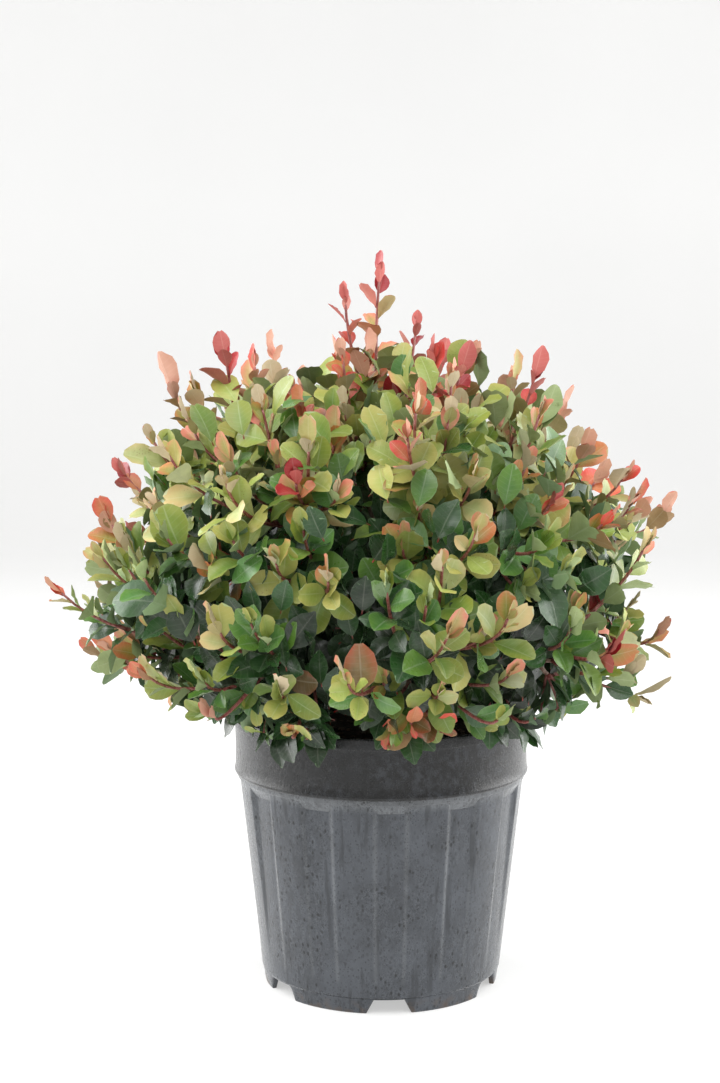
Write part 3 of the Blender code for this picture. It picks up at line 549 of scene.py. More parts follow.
# Tints of the leaves, youngest to oldest: colour, flush at margin and tip, colour underneath, roughness, how
# pale the veins are, specks, and how much the outline is that of an old, pointed leaf
TINTS = {
    "crimson": ((168, 30, 36), (146, 24, 34), (192, 98, 92), 0.36, 0.16, 0.0, 0.45),
    "ruby": ((194, 70, 56), (176, 36, 44), (200, 122, 110), 0.38, 0.18, 0.0, 0.35),
    "coral": ((196, 120, 76), (204, 76, 64), (206, 152, 128), 0.42, 0.2, 0.2, 0.15),
    "blush": ((176, 168, 96), (206, 128, 104), (204, 186, 152), 0.44, 0.2, 0.3, 0.1),
    "bronze": ((108, 84, 34), (148, 66, 36), (160, 126, 84), 0.36, 0.22, 0.3, 0.25),
    "amber": ((148, 148, 62), (184, 112, 64), (180, 164, 116), 0.42, 0.2, 0.6, 0.1),
    "cream": ((180, 188, 122), (198, 176, 122), (200, 204, 162), 0.46, 0.18, 0.6, 0.0),
    "lime": ((144, 160, 70), (162, 158, 82), (172, 188, 132), 0.4, 0.2, 0.8, 0.0),
    "olive": ((104, 134, 44), (124, 134, 50), (150, 168, 114), 0.36, 0.22, 0.4, 0.2),
    "meadow": ((66, 114, 42), (84, 120, 44), (134, 160, 114), 0.29, 0.22, 0.1, 0.5),
    "dark": ((29, 66, 26), (39, 76, 31), (114, 142, 104), 0.26, 0.17, 0.0, 0.85),
    "deep": ((15, 38, 14), (23, 48, 19), (94, 120, 86), 0.25, 0.14, 0.0, 1.0),
}
TINT_NAMES = list(TINTS)

# What a shoot's leaves are from its tip down, for each kind of flush
FLUSHES = {
    "red": "crimson ruby coral blush amber lime lime olive olive meadow meadow meadow dark dark deep",
    "coral": "coral coral blush amber lime lime lime olive olive olive meadow meadow dark dark deep",
    "bronze": "coral bronze bronze amber olive lime olive olive meadow meadow meadow dark dark deep deep",
    "yellow": "blush amber lime cream lime lime lime olive olive olive meadow meadow dark dark deep",
    "green": "lime olive meadow olive meadow meadow dark meadow dark dark dark dark deep deep deep",
    "old": "meadow dark meadow dark dark dark deep dark dark deep deep deep deep deep deep",
}
FLUSH_NAMES = list(FLUSHES)

# Chance of each flush by height of the shoot's tip: (height, red, coral, bronze, yellow, green, old)
FLUSH_BY_HEIGHT = np.array(
    [
        (0.25, 0.0, 0.01, 0.02, 0.04, 0.2, 0.73),
        (0.28, 0.0, 0.02, 0.05, 0.11, 0.36, 0.46),
        (0.31, 0.0, 0.05, 0.07, 0.31, 0.38, 0.19),
        (0.36, 0.01, 0.07, 0.08, 0.37, 0.37, 0.1),
        (0.42, 0.02, 0.08, 0.09, 0.39, 0.36, 0.06),
        (0.47, 0.02, 0.09, 0.1, 0.57, 0.21, 0.01),
        (0.53, 0.04, 0.12, 0.1, 0.7, 0.04, 0.0),
        (0.58, 0.12, 0.2, 0.12, 0.56, 0.0, 0.0),
        (0.62, 0.22, 0.31, 0.14, 0.33, 0.0, 0.0),
        (0.7, 0.7, 0.25, 0.05, 0.0, 0.0, 0.0),
    ]
)

# How fast the leaves age down a shoot, in steps for each leaf, by height of the shoot's tip
AGEING = ((0.26, 0.4, 0.5, 0.6), (1.65, 1.4, 0.84, 0.58))


# Masses, shoots and leaves


class Mass:
    """One mass of foliage: its heart, and the bough and stem that lead to it, as in the source."""

    def __init__(self, ring, index, count, distance, height, first, starts, out, bend, tip, radius):
        azimuth = math.radians(first) + index * 2.0 * math.pi / count
        self.ring = ring
        self.name = ring if count == 1 else f"{ring}_{index + 1}"
        self.heart = circle_point(azimuth, distance, height)
        self.start = stem_middle(starts[index % len(starts)]) + circle_point(azimuth, out)
        self.bend = self.start + circle_point(azimuth, *bend)
        self.end = circle_point(azimuth, *tip)
        self.radius = radius

    def bough(self):
        """The bough's middle line."""
        return bezier(self.start, self.bend, self.end, np.linspace(0.0, 1.0, BOUGH_RINGS))

    def stem(self):
        """The line that runs on from the bough's tip to the heart, bending from one way to the other."""
        way = unit(self.end - self.bend)
        bend = self.end + 0.4 * np.linalg.norm(self.heart - self.end) * way
        return bezier(self.end - 0.002 * way, bend, self.heart, np.linspace(0.0, 1.0, 10))


def stem_middle(height):
    """The point of the leaning stem's middle line at a height."""
    share = (height - STEM_FOOT) / (STEM_FORK - STEM_FOOT)
    return np.array([0.0, 0.0, height]) + share * STEM_LEAN


def make_masses():
    """Every ring's masses, spaced evenly round the axis."""
    return [Mass(ring[0], index, *ring[1:]) for ring in MASS_RINGS for index in range(ring[1])]


def outline_distance(ways):
    """Distance from the crown's heart to its outline along each way, by halving."""
    near = np.zeros(len(ways))
    far = np.full(len(ways), 0.6)
    for _ in range(20):
        middle = 0.5 * (near + far)
        inside = crown_share(CROWN_HEART + ways * middle[:, None]) < 1.0
        near = np.where(inside, middle, near)
        far = np.where(inside, far, middle)
    return near


def in_pot(points):
    """True within the pot, its rim and the soil, with a little room to spare."""
    flat = np.hypot(points[..., 0], points[..., 1])
    return (flat < RIM_RADIUS + POT_ROOM) & (points[..., 2] < POT_HEIGHT + POT_ROOM)


def skirt_height(points):
    """Height of a cone under the crown that rises outwards from the pot's rim."""
    return SKIRT_HEIGHT + SKIRT_SLOPE * (np.hypot(points[..., 0], points[..., 1]) - SKIRT_RADIUS)


def shoot_targets(chance):
    """Shoot tips spread evenly over the outline by the golden turn, with the leaders put first.

    A tip below the skirt is lifted to it, and one that crowds a leader is left out.
    """
    index = np.arange(SHOOTS)
    height = 1.0 - (index + 0.5) * SHOOT_SWEEP / SHOOTS
    around = index * GOLDEN_TURN
    flat = np.sqrt(1.0 - height**2)
    ways = np.stack([flat * np.cos(around), flat * np.sin(around), height], -1)
    ways = unit(ways + chance.normal(0.0, SHOOT_SCATTER, ways.shape))
    short = SHOOT_SHORTENING * chance.uniform(0.0, 1.0, SHOOTS) ** SHOOT_SHORTENING_POWER
    tips = CROWN_HEART + ways * (outline_distance(ways) * (LONGEST_SHOOT - short))[:, None]
    tips[:, 2] = np.maximum(tips[:, 2], skirt_height(tips) + chance.uniform(0.0, SKIRT_SCATTER, SHOOTS))
    tips = tips[(tips[:, 2] > LOWEST_TIP) & ~in_pot(tips)]
    leaders = np.array([leader[0] for leader in LEADERS])
    apart = np.linalg.norm(tips[:, None, :] - leaders[None, :, :], axis=2).min(axis=1)
    return np.concatenate([leaders, tips[apart > LEADER_ROOM]])


def fan_way(tips):
    """The way that a shoot points at its tip: out from a low middle point, lifted more from a height on."""
    low, high = FAN_LIFT_HEIGHTS
    lift = FAN_LIFT * np.clip((tips[..., 2:] - low) / (high - low), 0.0, 1.0)
    return unit(unit(tips - FAN_FOOT) + lift * UP)


def tint_numbers(names):
    """Tints by their places in the table."""
    return np.array([TINT_NAMES.index(name) for name in names.split()])


def flush_of(tip, chance):
    """The kind of young leaves on a shoot, drawn by the height of its tip."""
    weights = np.array([np.interp(tip[2], FLUSH_BY_HEIGHT[:, 0], row) for row in FLUSH_BY_HEIGHT[:, 1:].T])
    return FLUSH_NAMES[chance.choice(len(weights), p=weights / weights.sum())]


class Leaves:
    """Arrays of leaves, filled shoot by shoot, in the order in which add takes them."""

    def __init__(self):
        self.rows = []

    def add(self, root, way, face, size, width, droop, fold, tint, tone, free=False):
        """Adds leaves, their angles in degrees. Free leaves may hang below the crown's skirt."""
        angles = (np.radians(droop), np.radians(fold))
        self.rows.append((root, way, face, size, width, *angles, tint, tone, np.full(len(root), free)))

    def arrays(self):
        """Each quantity of all leaves as one array."""
        return [np.concatenate(column) for column in zip(*self.rows)]


def leaf_ways(along, spread, around, outward, chance):
    """Length and face of each leaf: tipped off the shoot by spread, its face up the shoot, out and up."""
    helper = np.where(np.abs(along[:, 2:]) < 0.9, UP, np.array([1.0, 0.0, 0.0]))
    side = unit(np.cross(along, helper))
    other = np.cross(along, side)
    off = side * np.cos(around)[:, None] + other * np.sin(around)[:, None]
    way = unit(along * np.cos(spread)[:, None] + off * np.sin(spread)[:, None])
    face = along * FACE_ALONG + UP * FACE_UP + outward * FACE_OUT
    return way, square_to(face + chance.normal(0.0, FACE_SCATTER, way.shape), way)


def square_to(face, way):
    """The face ways without their share along the length ways."""
    return unit(face - way * np.sum(face * way, axis=1, keepdims=True))


def dress_shoot(leaves, curve, tip, flush, leads, chance):
    """Leaves down one shoot from its tip: upright and small at the tip, wider apart and larger below.

    Each leaf stands a fixed turn on from the last. Low shoots' leaves hang more, and tints age downwards.
    """
    length = np.linalg.norm(curve[2] - curve[0])
    spacing = LEAF_SPACING * np.interp(tip[2], *SPACING_GAIN)
    count = int(np.clip(round(DRESSED_SHARE * length / spacing), *LEAVES_A_SHOOT))
    k = np.arange(count)
    down = (k + 0.3) * spacing * np.minimum(1.0, 0.55 + 0.15 * k) / length
    shares = np.clip(1.0 - down, 0.04, 1.0)
    root = bezier(*curve, shares)
    along = unit(bezier(*curve, np.minimum(shares + 0.02, 1.0)) - bezier(*curve, shares - 0.02))
    around = chance.uniform(0.0, 2.0 * math.pi) + k * LEAF_TURN + chance.normal(0.0, 0.15, count)
    spread = LEAST_SPREAD + SPREAD_GAIN * np.minimum(1.0, k / 9.0) + chance.normal(0.0, SPREAD_SCATTER, count)
    way, face = leaf_ways(along, np.radians(spread), around, unit(root - CROWN_HEART), chance)
    low = np.clip((0.36 - tip[2]) / 0.1, 0.0, 1.0)
    low *= LEADER_HANG if leads else 1.0
    hang = np.clip(k / 10.0, 0.0, 1.0) * (LEAST_HANG + HANG_GAIN * low) * chance.uniform(0.3, 1.2, count)
    way = unit(way - UP * hang[:, None])
    grown = 0.5 + 0.5 * np.minimum(1.0, k / (8.0 if leads else 5.0))
    size = LEAF_LENGTH * grown * np.clip(chance.lognormal(0.0, SIZE_SCATTER, count), *SIZE_LIMITS)
    width = chance.uniform(*LEAF_WIDTHS, count) * (0.85 + 0.15 * np.minimum(1.0, k / 3.0))
    width *= np.interp(tip[2], *WIDTH_GAIN)
    droop = chance.uniform(0.0, MOST_DROOP, count) * np.minimum(1.0, 0.3 + k / 6.0)
    fold = chance.uniform(*LEAF_FOLDS, count)
    ages = tint_numbers(FLUSHES[flush])
    age = k * np.interp(tip[2], *AGEING) + chance.normal(0.0, 0.7, count)
    tint = ages[np.clip(age, 0, len(ages) - 1).astype(int)]
    turned = (chance.uniform(0.0, 1.0, count) < ODD_LEAVES) & (k > 2) & (tip[2] < ODD_LEAVES_BELOW)
    tint[turned] = TINT_NAMES.index("bronze")
    tone = np.clip(chance.normal(0.5, 0.24) + chance.normal(0.0, 0.14, count), 0.0, 1.0)
    leaves.add(root, way, square_to(face, way), size, width, droop, fold, tint, tone, leads)


def end_leaf(leaves, end, tip, flush, leads, chance):
    """The leaf at a shoot's end, whose own tip is the shoot's target."""
    way = unit(tip - end)[None, :]
    face = UP * 0.3 + unit(end - CROWN_HEART) * 0.7 + chance.normal(0.0, 0.3, 3)
    size = np.array([np.linalg.norm(tip - end)])
    width = chance.uniform(*END_LEAF_WIDTHS, 1)
    fold = chance.uniform(12.0, 32.0, 1)
    tone = chance.uniform(0.3, 0.7, 1)
    tint = tint_numbers(FLUSHES[flush])[:1]
    face = square_to(face[None, :], way)
    leaves.add(end[None, :], way, face, size, width, np.zeros(1), fold, tint, tone, leads)


def group_tips(tips, count):
    """Tips put into close groups, by moving each group's middle to the mean of the tips nearest to it."""
    middles = tips[np.linspace(0, len(tips) - 1, count).astype(int)]
    for _ in range(GROUPING_ROUNDS):
        nearest = np.linalg.norm(tips[:, None, :] - middles[None, :, :], axis=2).argmin(axis=1)
        for group in np.unique(nearest):
            middles[group] = tips[nearest == group].mean(axis=0)
    return middles, nearest


def grow_shoot(leaves, fork, tip, leader, chance):
    """One shoot in leaf, from its fork to a tip, by way of a bend that lies back along its own way."""
    span = tip - fork
    end_size = leader[2] if leader else chance.uniform(*END_LEAF_LENGTHS)
    way = unit(fan_way(tip) + SPAN_PULL * unit(span) + chance.normal(0.0, SHOOT_SWAY, 3))
    curve = (fork, tip - way * (BEND_SHARE * np.linalg.norm(span)), tip - way * end_size)
    flush = leader[1] if leader else flush_of(tip, chance)
    end_leaf(leaves, curve[2], tip, flush, bool(leader), chance)
    dress_shoot(leaves, curve, tip, flush, bool(leader), chance)
    return tube_of(curve, SHOOT_POINTS, SHOOT_RADII)


def tube_of(curve, count, radii, sides=TWIG_SIDES):
    """A tube along a curve, its radius running evenly from one to the other."""
    return bezier(*curve, np.linspace(0.0, 1.0, count)), np.linspace(*radii, count), sides


def grow_crown(masses, chance):
    """Shoots from the hearts by way of small branches, each dressed with leaves. Returns leaves and twigs."""
    tips = shoot_targets(chance)
    hearts = np.array([mass.heart for mass in masses])
    owner = np.linalg.norm(tips[:, None, :] - hearts[None, :, :], axis=2).argmin(axis=1)
    leaves = Leaves()
    red_wood = []
    brown_wood = []
    for m, mass in enumerate(masses):
        own = np.nonzero(owner == m)[0]
        stem = mass.stem()
        taper = np.linspace(BOUGH_TIP_RADIUS, BRANCH_RADII[0], len(stem))
        brown_wood.append((stem, taper, MASS_STEM_SIDES))
        middles, nearest = group_tips(tips[own], max(1, round(len(own) / SHOOTS_A_BRANCH)))
        for group, middle in enumerate(middles):
            root = stem[chance.integers(3, len(stem))]
            fork = root + BRANCH_FORK * (middle - root) - BRANCH_SAG * UP
            bend = root + BRANCH_BEND * (middle - root) - BRANCH_SAG * UP
            brown_wood.append(tube_of((root, bend, fork), BRANCH_POINTS, BRANCH_RADII))
            for i in own[nearest == group]:
                leader = LEADERS[i] if i < len(LEADERS) else None
                red_wood.append(grow_shoot(leaves, fork, tips[i], leader, chance))
    return leaves, red_wood, brown_wood


def hanging_shoots(masses, leaves, red_wood, chance):
    """Short shoots of the lower ring that bend down over the pot's rim, with large old leaves at the end."""
    lower = [mass for mass in masses if mass.ring == "lower"]
    tints = tint_numbers("dark dark deep deep")
    count = len(HANGING_ROOTS)
    for i in range(HANGING_SHOOTS):
        azimuth = (i + chance.uniform(-0.48, 0.48)) * 2.0 * math.pi / HANGING_SHOOTS
        end = circle_point(azimuth, chance.uniform(0.146, 0.156), chance.uniform(0.266, 0.282))
        owner = min(lower, key=lambda mass: np.linalg.norm(mass.heart - end))
        fork = owner.stem()[4]
        tube = tube_of((fork, 0.5 * (fork + end) + 0.012 * UP, end), HANGING_POINTS, (0.002, 0.0013))
        red_wood.append(tube)
        outward = np.tile(circle_point(azimuth), (count, 1))
        swing = np.linspace(-0.8, 0.8, count) + chance.normal(0.0, 0.15, count)
        fall = chance.uniform(0.5, 1.1, count)
        way = unit(0.55 * outward - fall[:, None] * UP + swing[:, None] * np.cross(outward, UP))
        face = square_to(outward + 0.5 * UP + chance.normal(0.0, 0.2, way.shape), way)
        leaves.add(
            tube[0][HANGING_ROOTS],
            way,
            face,
            chance.uniform(0.03, 0.05, count),
            chance.uniform(0.5, 0.64, count),
            chance.uniform(8.0, 30.0, count),
            chance.uniform(8.0, 22.0, count),
            tints[chance.integers(0, len(tints), count)],
            chance.uniform(0.2, 0.8, count),
            True,
        )


def inner_leaves(leaves, chance, count=INNER_LEAVES):
    """Old dark leaves within the crown, spread at random through a shell under the outer ones."""
    ways = unit(chance.normal(0.0, 1.0, (count, 3)))
    share = chance.uniform(0.44, 0.88, count)
    root = CROWN_HEART + ways * (outline_distance(ways) * share)[:, None]
    way = unit(fan_way(root) + chance.normal(0.0, 0.55, (count, 3)))
    face = square_to(ways + UP * 0.3 + chance.normal(0.0, 0.4, (count, 3)), way)
    ages = tint_numbers("lime olive meadow dark dark deep deep")
    age = np.interp(root[:, 2], (0.34, 0.52), (5.5, 1.2)) + chance.normal(0.0, 1.0, count)
    leaves.add(
        root,
        way,
        face,
        chance.uniform(0.03, 0.044, count),
        chance.uniform(0.54, 0.72, count),
        chance.uniform(5.0, 40.0, count),
        chance.uniform(6.0, 20.0, count),
        ages[np.clip(age, 0, len(ages) - 1).astype(int)],
        chance.uniform(0.2, 0.8, count),
    )


# One leaf as a grid: shares along it with half its width there, places across it, and how far back of its
# tip each point of the end row lies
ALONG = np.array([0.0, 0.09, 0.2, 0.34, 0.5, 0.66, 0.82, 1.0])
HALF_WIDTH = np.array([0.045, 0.05, 0.34, 0.7, 0.94, 1.0, 0.9, 0.58])
POINTED_HALF_WIDTH = np.array([0.045, 0.055, 0.44, 0.82, 1.0, 0.92, 0.64, 0.26])
ACROSS = np.array([-1.0, -0.5, 0.0, 0.5, 1.0])
END_BACK = np.array([0.08, 0.02, 0.0, 0.02, 0.08])
ROWS = len(ALONG)
COLUMNS = len(ACROSS)
MIDDLE = COLUMNS // 2
NOTCH_SHARE = 0.09


def leaf_template():
    """Corners and faces of one closed leaf.

    The upper sheet is the whole grid. The lower sheet has a midrib of its own under the upper one, shares the
    margin, and fans from the midrib's last point to the end row.
    """
    upper = np.arange(ROWS * COLUMNS).reshape(ROWS, COLUMNS)
    rib = np.append(upper[0, MIDDLE], np.arange(ROWS - 2) + ROWS * COLUMNS)
    lower = np.stack([upper[:-1, 0], rib, upper[:-1, -1]], -1)
    quads = []
    for sheet, turned in ((upper, False), (lower, True)):
        a = sheet[:-1, :-1]
        b = sheet[1:, :-1]
        c = sheet[1:, 1:]
        d = sheet[:-1, 1:]
        order = (a, b, c, d) if turned else (a, d, c, b)
        quads.append(np.stack(order, -1).reshape(-1, 4))
    end = np.concatenate([upper[-2:-1, 0], upper[-1], upper[-2:-1, -1]])
    fan = np.stack([np.full(len(end) - 1, rib[-1]), end[:-1], end[1:]], -1)
    stalk = upper[0]
    foot = np.array([[stalk[0], stalk[2], stalk[1]], [stalk[2], stalk[4], stalk[3]]])
    fans = [np.zeros((0, 3), int), np.concatenate([fan, foot])]
    corners = ROWS * COLUMNS + ROWS - 2
    sharp = np.zeros((corners, corners), bool)
    edge = np.concatenate([upper[:, 0], upper[-1, 1:-1], upper[::-1, -1]])
    sharp[edge[:-1], edge[1:]] = True
    sharp[edge[1:], edge[:-1]] = True
    return quads, fans, sharp, corners


def leaf_points(root, way, face, size, width, droop, fold, ripple, pointed):
    """Points of many leaves at once.

    The half width runs between a round-ended outline and a pointed one by the leaf's pointed share, and the
    end row bows back from the tip; some round leaves have a shallow notch there.
    The midrib is an arc that turns by droop over the leaf's length. Across it the blade rises by the fold
    angle, with a cup that flattens towards the margin and a ripple that grows towards it. The lower sheet
    lies one thickness under the upper one and meets it at the margin.
    """
    count = len(root)
    t = ACROSS[None, None, :]
    s = np.tile(ALONG[None, :, None], (count, 1, COLUMNS))
    s[:, -1, :] -= END_BACK
    s[:, -1, MIDDLE] -= NOTCH_SHARE * (1.0 - pointed) * np.clip(2.5 * ripple - 1.1, 0.0, 1.0)
    turn = np.maximum(droop, 1e-4)[:, None, None]
    chord = 2.0 * np.sin(0.5 * turn) / turn
    forward = np.sin(turn * s) / turn / chord
    down = (1.0 - np.cos(turn * s)) / turn
    outline = HALF_WIDTH + pointed[:, None] * (POINTED_HALF_WIDTH - HALF_WIDTH)
    half = 0.5 * (width[:, None] * outline)[:, :, None]
    side = half * t * np.cos(fold)[:, None, None]
    rise = half * np.abs(t) * np.sin(fold)[:, None, None] * (1.25 - 0.4 * np.abs(t))
    wave = np.sin(2.0 * math.pi * (s * 2.6 + ripple[:, None, None]) + 1.3 * np.sign(t))
    rise = rise + 0.03 * wave * t**2 * half / half.max(axis=1, keepdims=True)
    lift = rise - down
    across = np.cross(face, way)
    upper = root[:, None, None, :] + size[:, None, None, None] * (
        forward[..., None] * way[:, None, None, :]
        + side[..., None] * across[:, None, None, :]
        + lift[..., None] * face[:, None, None, :]
    )
    thick = 0.014 * size[:, None, None] * np.where(ALONG[1:-1] < 0.15, 2.4, 1.0)[None, :, None]
    lower = upper[:, 1:-1, MIDDLE, :] - thick * face[:, None, :]
    return np.concatenate([upper.reshape(count, -1, 3), lower], axis=1)


def leaf_map():
    """Map of one leaf: share along it, and place across it from 0 to 1."""
    grid = np.stack(np.meshgrid(ALONG, 0.5 + 0.5 * ACROSS, indexing="ij"), -1)
    grid[-1, :, 0] -= END_BACK
    lower = np.stack([ALONG[1:-1], np.full(ROWS - 2, 0.5)], -1)
    return np.concatenate([grid.reshape(-1, 2), lower])


def clear_leaves(points, free):
    """True for leaves wholly outside the pot, within reach and, unless free, above the crown's skirt."""
    clear = ~in_pot(points).any(axis=1)
    clear &= (np.abs(points) <= REACH).all(axis=(1, 2))
    clear &= (points[..., 2] > LOWEST_LEAF).all(axis=1)
    return clear & (free | (points[..., 2] > skirt_height(points) - SKIRT_LEAF_DROP).all(axis=1))


def leaf_finishes(name):
    """The upper and lower finish of one tint."""
    colour, flush, under, roughness, veins, speck = TINTS[name][:6]
    under = linear(*under)
    return [
        leaf_finish(f"{name}_leaf", linear(*colour), linear(*flush), roughness, veins, speck),
        leaf_finish(f"{name}_leaf_underside", under, darker(under, 0.92), 0.62, 0.2, 0.5 * speck),
    ]


def build_leaves(leaves, masses, chance):
    """All clear leaves, in one piece for each tint."""
    root, way, face, size, width, droop, fold, tint, tone, free = leaves.arrays()
    ripple = chance.uniform(0.0, 1.0, len(root))
    pointed = np.array([row[-1] for row in TINTS.values()])[tint]
    points = leaf_points(root, way, face, size, width, droop, fold, ripple, pointed)
    clear = clear_leaves(points, free)
    quads, fans, sharp, corners = leaf_template()
    masses_nodes = [f"{mass.name}_foliage" for mass in masses]
    for index, name in enumerate(TINT_NAMES):
        chosen = np.nonzero(clear & (tint == index))[0]
        if not len(chosen):
            continue
        offset = (np.arange(len(chosen)) * corners)[:, None, None]
        faces = []
        slots = []
        for slot, sheet in enumerate(zip(quads, fans)):
            for kind in sheet:
                faces.append((kind[None] + offset).reshape(-1, kind.shape[1]))
                slots.append(np.full(len(faces[-1]), slot))
        item = mesh_piece(
            f"{name}_leaves",
            points[chosen],
            faces,
            leaf_finishes(name),
            slots=np.concatenate(slots),
            map_points=np.tile(leaf_map(), (len(chosen), 1)),
            tone=np.repeat(tone[chosen], corners),
        )
        mark_margins(item.data, sharp, corners)
        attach(item, "root")
        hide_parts(*masses_nodes)


def mark_margins(mesh, sharp, corners):
    """Sharp edges where the two sheets of each leaf meet, so that each sheet is shaded by itself."""
    ends = np.zeros(len(mesh.edges) * 2, np.int32)
    mesh.edges.foreach_get("vertices", ends)
    ends = ends.reshape(-1, 2) % corners
    mark = mesh.attributes.new("sharp_edge", "BOOLEAN", "EDGE")
    mark.data.foreach_set("value", sharp[ends[:, 0], ends[:, 1]])


def bark_finish(name, colour, ridge_scale, roughness=0.8):
    """Bark: noise drawn out upright as ridges, dark between them, with paler specks."""
    bark = Finish(name)
    ridges = bark.noise(ridge_scale, 5.0, 0.65, 0.22)
    spots = bark.span(bark.cells(ridge_scale * 1.6), 0.22, 0.1)
    shade = bark.mix(bark.span(ridges, 0.35, 0.65), darker(colour, 0.55), lighter(colour, 0.12))
    shade = bark.mix(spots * 0.55, shade, lighter(colour, 0.35))
    bark.set(Base_Color=shade, Roughness=bark.span(ridges, 0.3, 0.7, roughness + 0.1, roughness - 0.1))
    bark.bump(ridges, 0.6, 0.0008)
    return bark.material


def stem_part():
    """The stem as points and faces.

    Its radius falls from the root flare by an exponential of the height, with a cosine of four lobes, and
    widens by a square towards the fork. Noise drawn out upright moves the points in and out as bark.
    """
    share = np.linspace(0.0, 1.0, STEM_RINGS)[:, None]
    height = STEM_FOOT + share * (STEM_FORK - STEM_FOOT)
    middle = height * UP + share * STEM_LEAN
    flare = np.exp((STEM_FOOT - height) / (0.45 * STEM_FLARE_HEIGHT))
    fork = np.clip((height - FORK_SWELL_START) / (STEM_FORK - FORK_SWELL_START), 0.0, 1.0) ** 2
    radius = STEM_RADIUS + (STEM_FLARE_RADIUS - STEM_RADIUS) * flare + (STEM_FORK_RADIUS - STEM_RADIUS) * fork
    azimuth = np.arange(STEM_SIDES) * 2.0 * math.pi / STEM_SIDES
    radius = radius * (1.0 + ROOT_LOBES * flare * np.cos(STEM_ROOTS * azimuth))
    around = np.stack([np.cos(azimuth), np.sin(azimuth), np.zeros(STEM_SIDES)], -1)
    rings = middle[:, None] + around * radius[..., None]
    relief = value_noise(rings * np.array([1.0, 1.0, 0.3]), 700.0, 3) - 0.5
    relief = relief + 0.6 * (value_noise(rings * np.array([1.0, 1.0, 0.5]), 1500.0, 5) - 0.5)
    return capped_grid(rings + around * (relief * BARK_DEPTH)[..., None], middle[0], middle[-1])


def bough_part(mass):
    """A bough as points and faces: an even taper with a cosine's swells at the nodes, and noise as bark."""
    path = mass.bough()
    nodes = np.cos(np.linspace(0.0, BOUGH_NODES * math.pi, len(path))) ** 6
    radii = np.linspace(mass.radius, BOUGH_TIP_RADIUS, len(path)) * (1.0 + BOUGH_SWELL * nodes)
    points, quads, fans = capped_grid(tube_rings(path, radii, BOUGH_SIDES), path[0], path[-1])
    centre = np.concatenate([np.repeat(path, BOUGH_SIDES, axis=0), path[:1], path[-1:]])
    bumps = value_noise(points, 900.0, 7) - 0.5
    return points + unit(points - centre) * (bumps * BOUGH_BARK_DEPTH)[:, None], quads, fans


def build_limbs(masses):
    """Stem and boughs with bark relief, as one piece."""
    parts = [stem_part()] + [bough_part(mass) for mass in masses]
    material = bark_finish("brown_bark", linear(104, 74, 54), 260.0)
    item = mesh_piece("stem_and_boughs", *join_parts(parts), [material])
    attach(item, "root")
    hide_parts("stem", *[f"{mass.name}_bough" for mass in masses])


def build_twigs(red_wood, brown_wood, masses):
    """Twigs in two pieces: burgundy young shoots, and browner branches nearer the hearts."""
    clear = [tube for tube in red_wood if not in_pot(tube[0]).any()]
    red_bark = bark_finish("burgundy_shoot", linear(138, 34, 32), 420.0, 0.42)
    red = joined_tubes("young_shoots", clear, red_bark)
    brown_bark = bark_finish("brown_twig", linear(112, 70, 50), 380.0, 0.65)
    brown = joined_tubes("brown_twigs", brown_wood, brown_bark)
    masses_nodes = [f"{mass.name}_foliage" for mass in masses]
    for item in (red, brown):
        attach(item, "root")
        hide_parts(*masses_nodes)


# Pot


def wall_radius(height):
    """The plain wall's radius, which grows evenly from the foot to its top."""
    share = (height - FOOT_HEIGHT) / (WALL_TOP - FOOT_HEIGHT)
    return WALL_FOOT_RADIUS + share * (WALL_TOP_RADIUS - WALL_FOOT_RADIUS)


def angle_off(azimuth, count):
    """Angle from the nearest of this many features spaced evenly round the pot."""
    pitch = 2.0 * math.pi / count
    return np.abs((azimuth - FEATURE_TURN + 0.5 * pitch) % pitch - 0.5 * pitch)


def flute_share(azimuth):
    """1 within a flute, 0 on the land between flutes, with a short smooth slope between."""
    low = FLUTE_HALF_ANGLE - 0.5 * FLUTE_EDGE
    share = np.clip((angle_off(azimuth, FLUTES) - low) / FLUTE_EDGE, 0.0, 1.0)
    return 1.0 - share * share * (3.0 - 2.0 * share)


def notch_rise(azimuth):
    """Height of the foot's lower edge: 0, and up a steep slope to the notch's flat top."""
    off = angle_off(azimuth, NOTCHES) * FOOT_RADIUS
    slope = 0.5 * (NOTCH_FOOT_WIDTH - NOTCH_TOP_WIDTH)
    return NOTCH_HEIGHT * np.clip((0.5 * NOTCH_FOOT_WIDTH - off) / slope, 0.0, 1.0)


